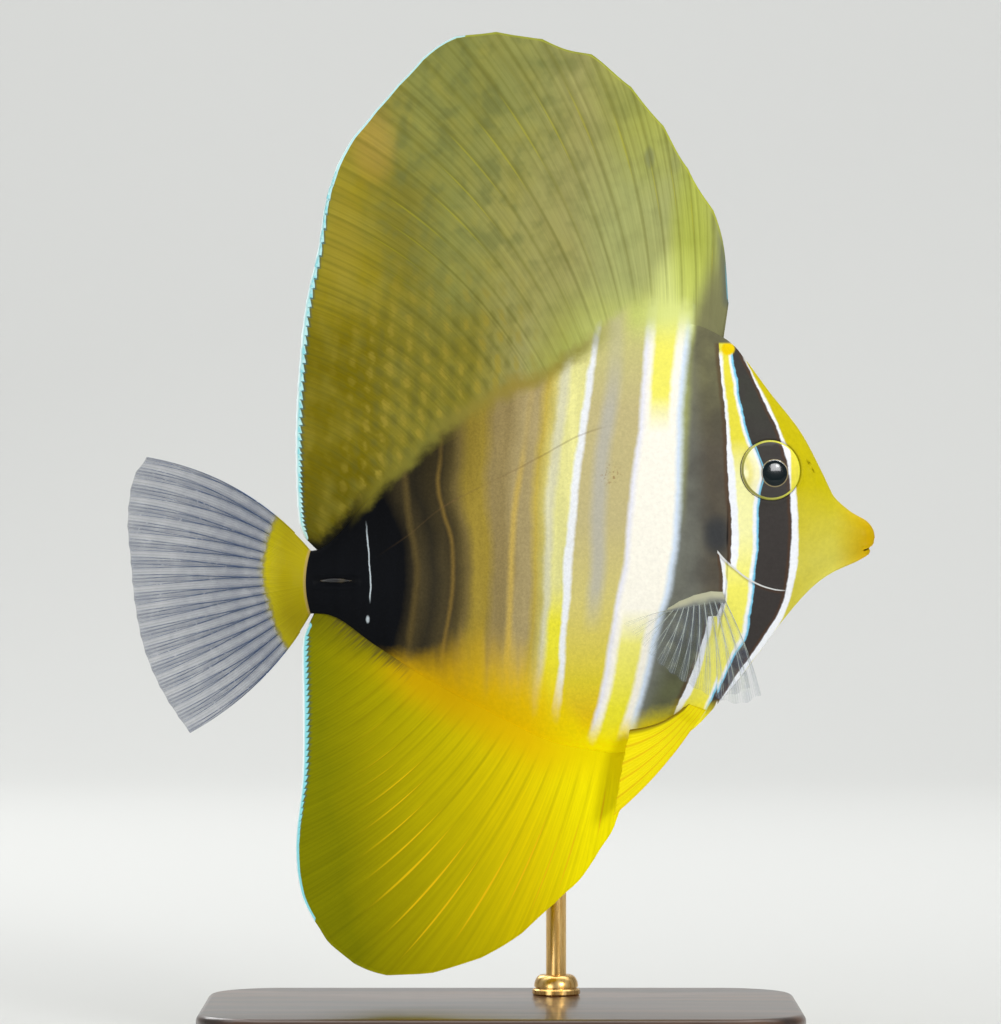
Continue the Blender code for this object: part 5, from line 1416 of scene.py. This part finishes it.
def makeEyes():
    finish = eyeFinish()
    r = face["eyeRadius"] * np.sin(np.linspace(0, np.pi / 2, eye["rings"]))
    angle = np.linspace(0, 2 * np.pi, eye["turns"], endpoint=False)
    for side, word in ((-1, "right"), (1, "left")):
        place, outward = eyePlace(side)
        forward = Vector((1, 0, 0)) - outward * outward.x
        forward.normalize()
        up = outward.cross(forward) * (1 if outward.cross(forward).z > 0 else -1)
        rr, aa = np.meshgrid(r, angle, indexing="ij")
        u, w = rr * np.cos(aa), rr * np.sin(aa)
        pupilGap = np.hypot(u - eye["pupilShift"][0], w - eye["pupilShift"][1])
        height = face["eyeDome"] * np.sqrt(np.clip(1 - (rr / face["eyeRadius"])**2, 0, 1))
        height = height + 0.1 * smoothStep(eye["pupilRadius"] - pupilGap, -0.05, 0.35)
        height = height + 0.05 * np.exp(-((pupilGap - eye["pupilRadius"] - 0.06) / 0.07)**2)
        height = height + 0.05 * np.exp(-((rr - eye["ringRadius"]) / 0.08)**2)
        front = (np.array(place)[None, None] + u[..., None] * np.array(forward) + w[..., None] * np.array(up)
                 + height[..., None] * np.array(outward))
        back = front[-1] - np.array(outward) * 0.35
        points = np.concatenate([front[1:].reshape(-1, 3), back,
                                 [front[0, 0], np.array(place) - np.array(outward) * 0.6]])
        turns = eye["turns"]
        faces = cappedFaces(len(r), turns)
        values = {"eyeRadius": np.concatenate([rr[1:].ravel(), np.full(turns, 3.4), [0, 3.4]]),
                  "pupilGap": np.concatenate([pupilGap[1:].ravel(), np.full(turns, 3.4),
                                              [pupilGap[0, 0], 3.4]])}
        centre = np.array(place)
        a, b, c = (np.array(points[i]) for i in faces[0][:3])
        if np.dot(np.cross(b - a, c - a), a - centre) < 0:
            faces = [f[::-1] for f in faces]
        mesh = meshFrom("eye_" + word, points, faces, values)
        addPiece("eyeball_" + word, mesh, finish, ("eye_" + word,))
    print("eyes made")


def makeMedianFin(name, fin, roots, finish):
    # a fin in the fish's middle plane: its membrane, its forked rays and the teeth of its pale border
    place, v = finColumns(fin), np.linspace(0, 1, fin["rows"] + 1)
    grid = medianGrid(fin, roots, place, v)
    values = finValues(fin, grid, place, v)
    normals = np.zeros_like(grid)
    normals[..., 1] = -1
    half = finThickness(fin, place, v, np.full(len(place), 0.45), values["rootGap"])
    mesh = slabMesh(name + "_sail", grid, half, normals, values)
    addPiece(name + "_sail", mesh, finish, (name + "_fin",))
    rays = branchedRays(name + "_rays", fin, grid, place, v, values, finish)
    addPiece(name + "_rays", rays, finish)
    lace = marginTeeth(name + "_lace", fin, grid, place, bpy.data.materials.get("finRim") or rimFinish())
    addPiece(name + "_lace", lace, bpy.data.materials["finRim"])
    print(name, "fin:", len(mesh.polygons), "+", len(rays.polygons), "+", len(lace.polygons), "faces")


def makeTail():
    share = np.linspace(1, 0, 40)
    rootX = tailRoot(share)
    low, high = bellyAt(rootX[-1]), backAt(rootX[0])
    roots = np.column_stack([rootX + 0.35, low + (high - low) * share])
    place, v = finColumns(tail), np.linspace(0, 1, tail["rows"] + 1)
    grid = medianGrid(tail, roots, place, v)
    values = finValues(tail, grid, place, v)
    normals = np.zeros_like(grid)
    normals[..., 1] = -1
    rootHalf = plainWidth(atShare(roots, place)[:, 0], atShare(roots, place)[:, 1]) + 0.03
    blend = 1 - smoothStep(v, 0.0, 0.3)[None, :]
    half = np.maximum(finThickness(tail, place, v, rootHalf), rootHalf[:, None] * blend**1.6)
    film = filmFinish("tailFilm", "tailDeep", "tailSlateDark", 0.38, 0.56, tailBase)
    addPiece("tail_film", slabMesh("tail_film", grid, half, normals, values), film,
             ("tail_fin",))
    finish = rayFinish("tailRay", "tailSlate", "tailSlatePale", specks=0.8, clear=0.95, base=tailBase)
    rays = branchedRays("tail_rays", tail, grid, place, v, values, finish, 0.12, 0.995)
    addPiece("tail_rays", rays, finish)
    print("tail fin:", len(rays.polygons), "faces of rays")


def pairedGrid(fin, side, place, v):
    root = atShare(np.array(fin["root"]), place)
    out = plainWidth(root[:, 0], root[:, 1])
    roots = np.column_stack([root[:, 0], out - fin["sink"], root[:, 1]])
    tips = atShare(smoothLine(fin["tips"]), place)
    tips[:, 1] += out + 0.3
    count = place * (fin["rays"] - 1)
    reach = ((np.abs(np.cos(np.pi * count))**1.5 - 0.65) * fin["scallop"])[:, None]
    ray = tips - roots
    tips = tips + reach * ray / np.linalg.norm(ray, axis=1)[:, None]
    grid = rayBend(roots, tips, np.outer(np.ones(len(place)), fin["bow"]), v)
    clear = plainWidth(grid[..., 0], grid[..., 2]) + flare(grid[..., 0], grid[..., 2]) + 0.35
    raised = smoothStep(np.asarray(v), 0.02, 0.14)[None, :]
    grid[..., 1] = np.where(grid[..., 1] < clear, grid[..., 1] * (1 - raised) + clear * raised, grid[..., 1])
    grid[..., 1] *= side
    return grid


def makePaired(name, fin, finish, rayMaterial):
    for side, word in ((-1, "right"), (1, "left")):
        place, v = finColumns(fin), np.linspace(0, 1, fin["rows"] + 1)
        grid = pairedGrid(fin, side, place, v)
        values = finValues(fin, grid, place, v)
        half = finThickness(fin, place, v, np.full(len(place), fin["rootHalf"]))
        mesh = slabMesh(name + "_film_" + word, grid, half, surfaceNormals(grid), values)
        addPiece(name + "_film_" + word, mesh, finish, (name + "_fin_" + word,))
        rays = branchedRays(name + "_rays_" + word, fin, grid, place, v, values, rayMaterial, 0.05, 0.99)
        addPiece(name + "_rays_" + word, rays, rayMaterial)
    print(name, "fins made")


def makeBlades():
    finish, tree, shader, place = newFinish("blade", roughness=0.3, coat=0.3)
    shade = ranged(noiseOf(place, 900.0), 0.35, 0.65)
    plug(mixed(shade, "black", "umber"), shader.inputs["Base Color"])
    t = np.linspace(0, 1, 28)
    radius = blade["radius"] * np.sqrt(np.sin(np.pi * (blade["taper"] * t) + 0.02)) * (1 - t**3)
    x = blade["x"] - blade["length"] / 2 + blade["length"] * t
    lines, radii = [], []
    for side in (-1, 1):
        y = side * (plainWidth(x, 0 * x + blade["z"]) - blade["sink"])
        lines.append(np.column_stack([x, y, 0 * x + blade["z"]]))
        radii.append(np.maximum(radius * 0.8, 0.02))
    mesh = grown("tail_blades", lineMesh("tail_blades", lines, radii), strands,
                 {"Sides": 16, "Finish": finish})
    addPiece("tail_blades", mesh, finish)


# Stand

def makeBase():
    finish, tree, shader, place = newFinish("baseWood", roughness=0.34, coat=0.35, coatRoughness=0.12)
    rings = noiseOf(place, 60.0, 4.0, 0.6, (0.22, 2.2, 2.2))
    grainLines = {"Vector": stretched(place, (0.25, 1.0, 1.0)), "Scale": 55.0, "Distortion": 5.0,
                  "Detail": 3.0, "Detail Scale": 1.2}
    bands = stepOf("ShaderNodeTexWave", grainLines, "Fac", bands_direction="Y")
    colour = mixed(bands, "woodDark", "wood")
    colour = mixed(ranged(rings, 0.45, 0.7, 0.0, 0.6), colour, "woodLight")
    pores = ranged(noiseOf(place, 900.0, 2.0, 0.5, (0.12, 1.0, 1.0)), 0.6, 0.72, 0.0, 0.7)
    colour = mixed(pores, colour, "woodDark")
    plug(colour, shader.inputs["Base Color"])
    bumped(shader, rings + pores * -0.6, 0.00006, 0.5)
    # rounded slab: the outline is drawn once and set in along a quarter round at the top
    corner, r = stand["baseCorner"], stand["baseRound"]
    halfX, halfY = stand["baseLength"] / 2, stand["baseWidth"] / 2
    turn = np.linspace(0, np.pi / 2, 17)
    around = 4 * len(turn)

    def outline(inset):
        c = corner - inset
        points = []
        for quarter, (sx, sy) in enumerate(((1, 1), (-1, 1), (-1, -1), (1, -1))):
            angle = turn + quarter * np.pi / 2
            points.append(np.column_stack([sx * (halfX - corner) + c * np.cos(angle),
                                           sy * (halfY - corner) + c * np.sin(angle)]))
        return np.concatenate(points)

    foot = 0.3
    levels = [(foot, 0.0), (0.0, foot)] + [(0.0, h) for h in (stand["baseThick"] * 0.3,
                                                              stand["baseThick"] * 0.6)]
    levels += [(r * (1 - math.cos(a)), stand["baseThick"] - r + r * math.sin(a))
               for a in np.linspace(0, np.pi / 2, 8)]
    rings = [np.column_stack([outline(inset), np.full(around, height)]) for inset, height in levels]
    points = np.concatenate(rings + [[[0, 0, 0], [0, 0, stand["baseThick"]]]])
    mesh = meshFrom("plinth", points, cappedFaces(len(rings), around))
    mesh.set_sharp_from_angle(angle=math.radians(38))
    addPiece("plinth", mesh, finish, ("stand_base",))


def brassFinish():
    finish, tree, shader, place = newFinish("brass", roughness=0.26, metallic=1.0)
    brushed = noiseOf(place, 2200.0, 3.0, 0.6, (1.0, 1.0, 0.08))
    colour = mixed(ranged(brushed, 0.3, 0.7), "brass", "brassWorn")
    plug(colour, shader.inputs["Base Color"])
    plug(ranged(brushed, 0.2, 0.8, 0.2, 0.36, False), shader.inputs["Roughness"])
    bumped(shader, brushed, 0.00001, 0.5)
    return finish


def makeRod():
    finish = brassFinish()
    contact = float(plainWidth(stand["rodX"], stand["rodMeets"]))
    top = stand["rodMeets"]
    bend, y0 = stand["rodBend"], stand["rodY"]
    route = [(y0, stand["baseThick"] - 0.4 - axisHeight), (y0, -30.0), (y0, top - bend - 1.5)]
    route += [(y0 - bend * (1 - math.cos(a)), top - bend * (1 - math.sin(a)))
              for a in np.linspace(0, np.pi / 2, 17)]
    route += [(contact + 0.4, top), (contact - 0.15, top)]
    line = np.array([(stand["rodX"], y, z) for y, z in route])
    mesh = grown("rod", lineMesh("rod", [line], [np.full(len(line), stand["rodRadius"])]), strands,
                 {"Sides": 32, "Finish": finish})
    addPiece("rod", mesh, finish, ("stand_rod",))
    # turned ring at the rod's foot
    inner, outer, h = stand["rodRadius"] - 0.02, stand["collarRadius"], stand["collarHeight"]
    base = stand["baseThick"]
    profile = [(inner, base), (outer - 0.15, base), (outer, base + 0.15), (outer, base + 0.55),
               (outer - 0.15, base + 0.7)]
    profile += [(outer - 0.35, base + 0.72), (outer - 0.35, base + 0.85), (outer - 0.2, base + 0.9)]
    profile += [(outer - 0.2 - (outer - 0.2 - inner - 0.45) * (1 - math.cos(a)),
                 base + 0.9 + (h - 0.9) * math.sin(a)) for a in np.linspace(0, np.pi / 2, 9)[1:]]
    profile += [(inner, base + h)]
    angle = np.linspace(0, 2 * np.pi, stand["sides"], endpoint=False)
    points = np.array([(stand["rodX"] + rad * math.cos(a), y0 + rad * math.sin(a), height)
                       for rad, height in profile for a in angle])
    faces = gridFaces(len(profile), len(angle), wrap=True)
    last = (len(profile) - 1) * len(angle)
    faces += [(last + j, last + (j + 1) % len(angle), (j + 1) % len(angle), j) for j in range(len(angle))]
    mesh = meshFrom("collar", points, faces)
    mesh.set_sharp_from_angle(angle=math.radians(35))
    addPiece("collar", mesh, finish, ("stand_collar",))


# Studio

def makeStudio():
    finish, tree, shader, place = newFinish("studioPaper", roughness=0.85, specular=0.2)
    plug("studio", shader.inputs["Base Color"])
    reach, back, rise, curve = 2.6, 1.1, 1.8, 0.5
    profile = [(-1.6, 0.0), (back - curve, 0.0)]
    profile += [(back - curve + curve * math.sin(a), curve * (1 - math.cos(a)))
                for a in np.linspace(0, np.pi / 2, 20)[1:]]
    profile += [(back, rise)]
    points = [(x, y, z) for y, z in profile for x in (-reach, reach)]
    faces = [(2 * k, 2 * k + 1, 2 * k + 3, 2 * k + 2) for k in range(len(profile) - 1)]
    mesh = bpy.data.meshes.new("sweep")
    mesh.from_pydata(points, [], faces)
    mesh.shade_smooth()
    mesh.materials.append(finish)
    sweep = bpy.data.objects.new("sweep", mesh)
    bpy.context.scene.collection.objects.link(sweep)
    target = Vector((0.0, 0.0, 0.055))
    for name, spot, aim, size, power in (("keyLight", (0.36, -0.6, 0.26), target, 0.18, 2.1),
                                         ("sparkLight", (0.4, -0.6, 0.26), target, 0.05, 0.22),
                                         ("fillLight", (-0.4, -0.6, 0.04), target, 0.28, 1.3),
                                         ("topLight", (0.0, 0.0, 0.7), target, 0.6, 1.3),
                                         ("rimLight", (-0.3, 0.5, 0.45), target, 0.3, 1.2),
                                         ("paperLight", (0.0, 0.35, 0.9), Vector((0.0, 1.1, 0.25)),
                                          1.2, 9.0)):
        data = bpy.data.lights.new(name, "AREA")
        data.size = size
        data.energy = power
        lamp = bpy.data.objects.new(name, data)
        lamp.location = spot
        lamp.rotation_euler = (aim - Vector(spot)).to_track_quat("-Z", "Y").to_euler()
        bpy.context.scene.collection.objects.link(lamp)
    world = bpy.data.worlds.new("studioWorld")
    world.use_nodes = True
    world.node_tree.nodes["Background"].inputs[0].default_value = (1, 1, 1, 1)
    world.node_tree.nodes["Background"].inputs[1].default_value = 0.4
    bpy.context.scene.world = world
    view = bpy.context.scene.view_settings
    view.view_transform = "Standard"
    view.look = "None"
    view.exposure = 0.0


def makeCamera():
    # level with the fish, a little above its axis, so that the photograph's 1024 rows span the same height
    rowsHigh, pixel, middleRow, axisRow, sensor = 1024, 0.107 * mm, 512, 560, 36.0
    data = bpy.data.cameras.new("camera")
    data.sensor_fit = "AUTO"
    data.sensor_width = sensor
    data.lens = sensor * camera["distance"] / (rowsHigh * pixel)
    data.clip_start, data.clip_end = 0.01, 10.0
    holder = bpy.data.objects.new("camera", data)
    holder.location = (-0.5 * pixel, -camera["distance"], axisHeight * mm + (axisRow - middleRow) * pixel)
    holder.rotation_euler = (math.pi / 2, 0, 0)
    bpy.context.scene.collection.objects.link(holder)
    bpy.context.scene.camera = holder


makeSkin()
makeEyes()
makeMedianFin("dorsal", dorsal, bodyEdge(backAt, dorsal["rootSpan"], -0.8), dorsalFinish())
makeMedianFin("anal", anal, bodyEdge(bellyAt, anal["rootSpan"], 0.8), analFinish())
makeTail()
makePaired("pectoral", pectoral, filmFinish("pectoralFilm", "clearFilm", "finBone", 0.06, 0.22, pectoralBase),
           rayFinish("pectoralRay", "finBone", "finBone", clear=0.75))
pelvicMembrane = pelvicFinish()
makePaired("pelvic", pelvic, pelvicMembrane, pelvicMembrane)
makeBlades()
makeBase()
makeRod()
makeStudio()
makeCamera()
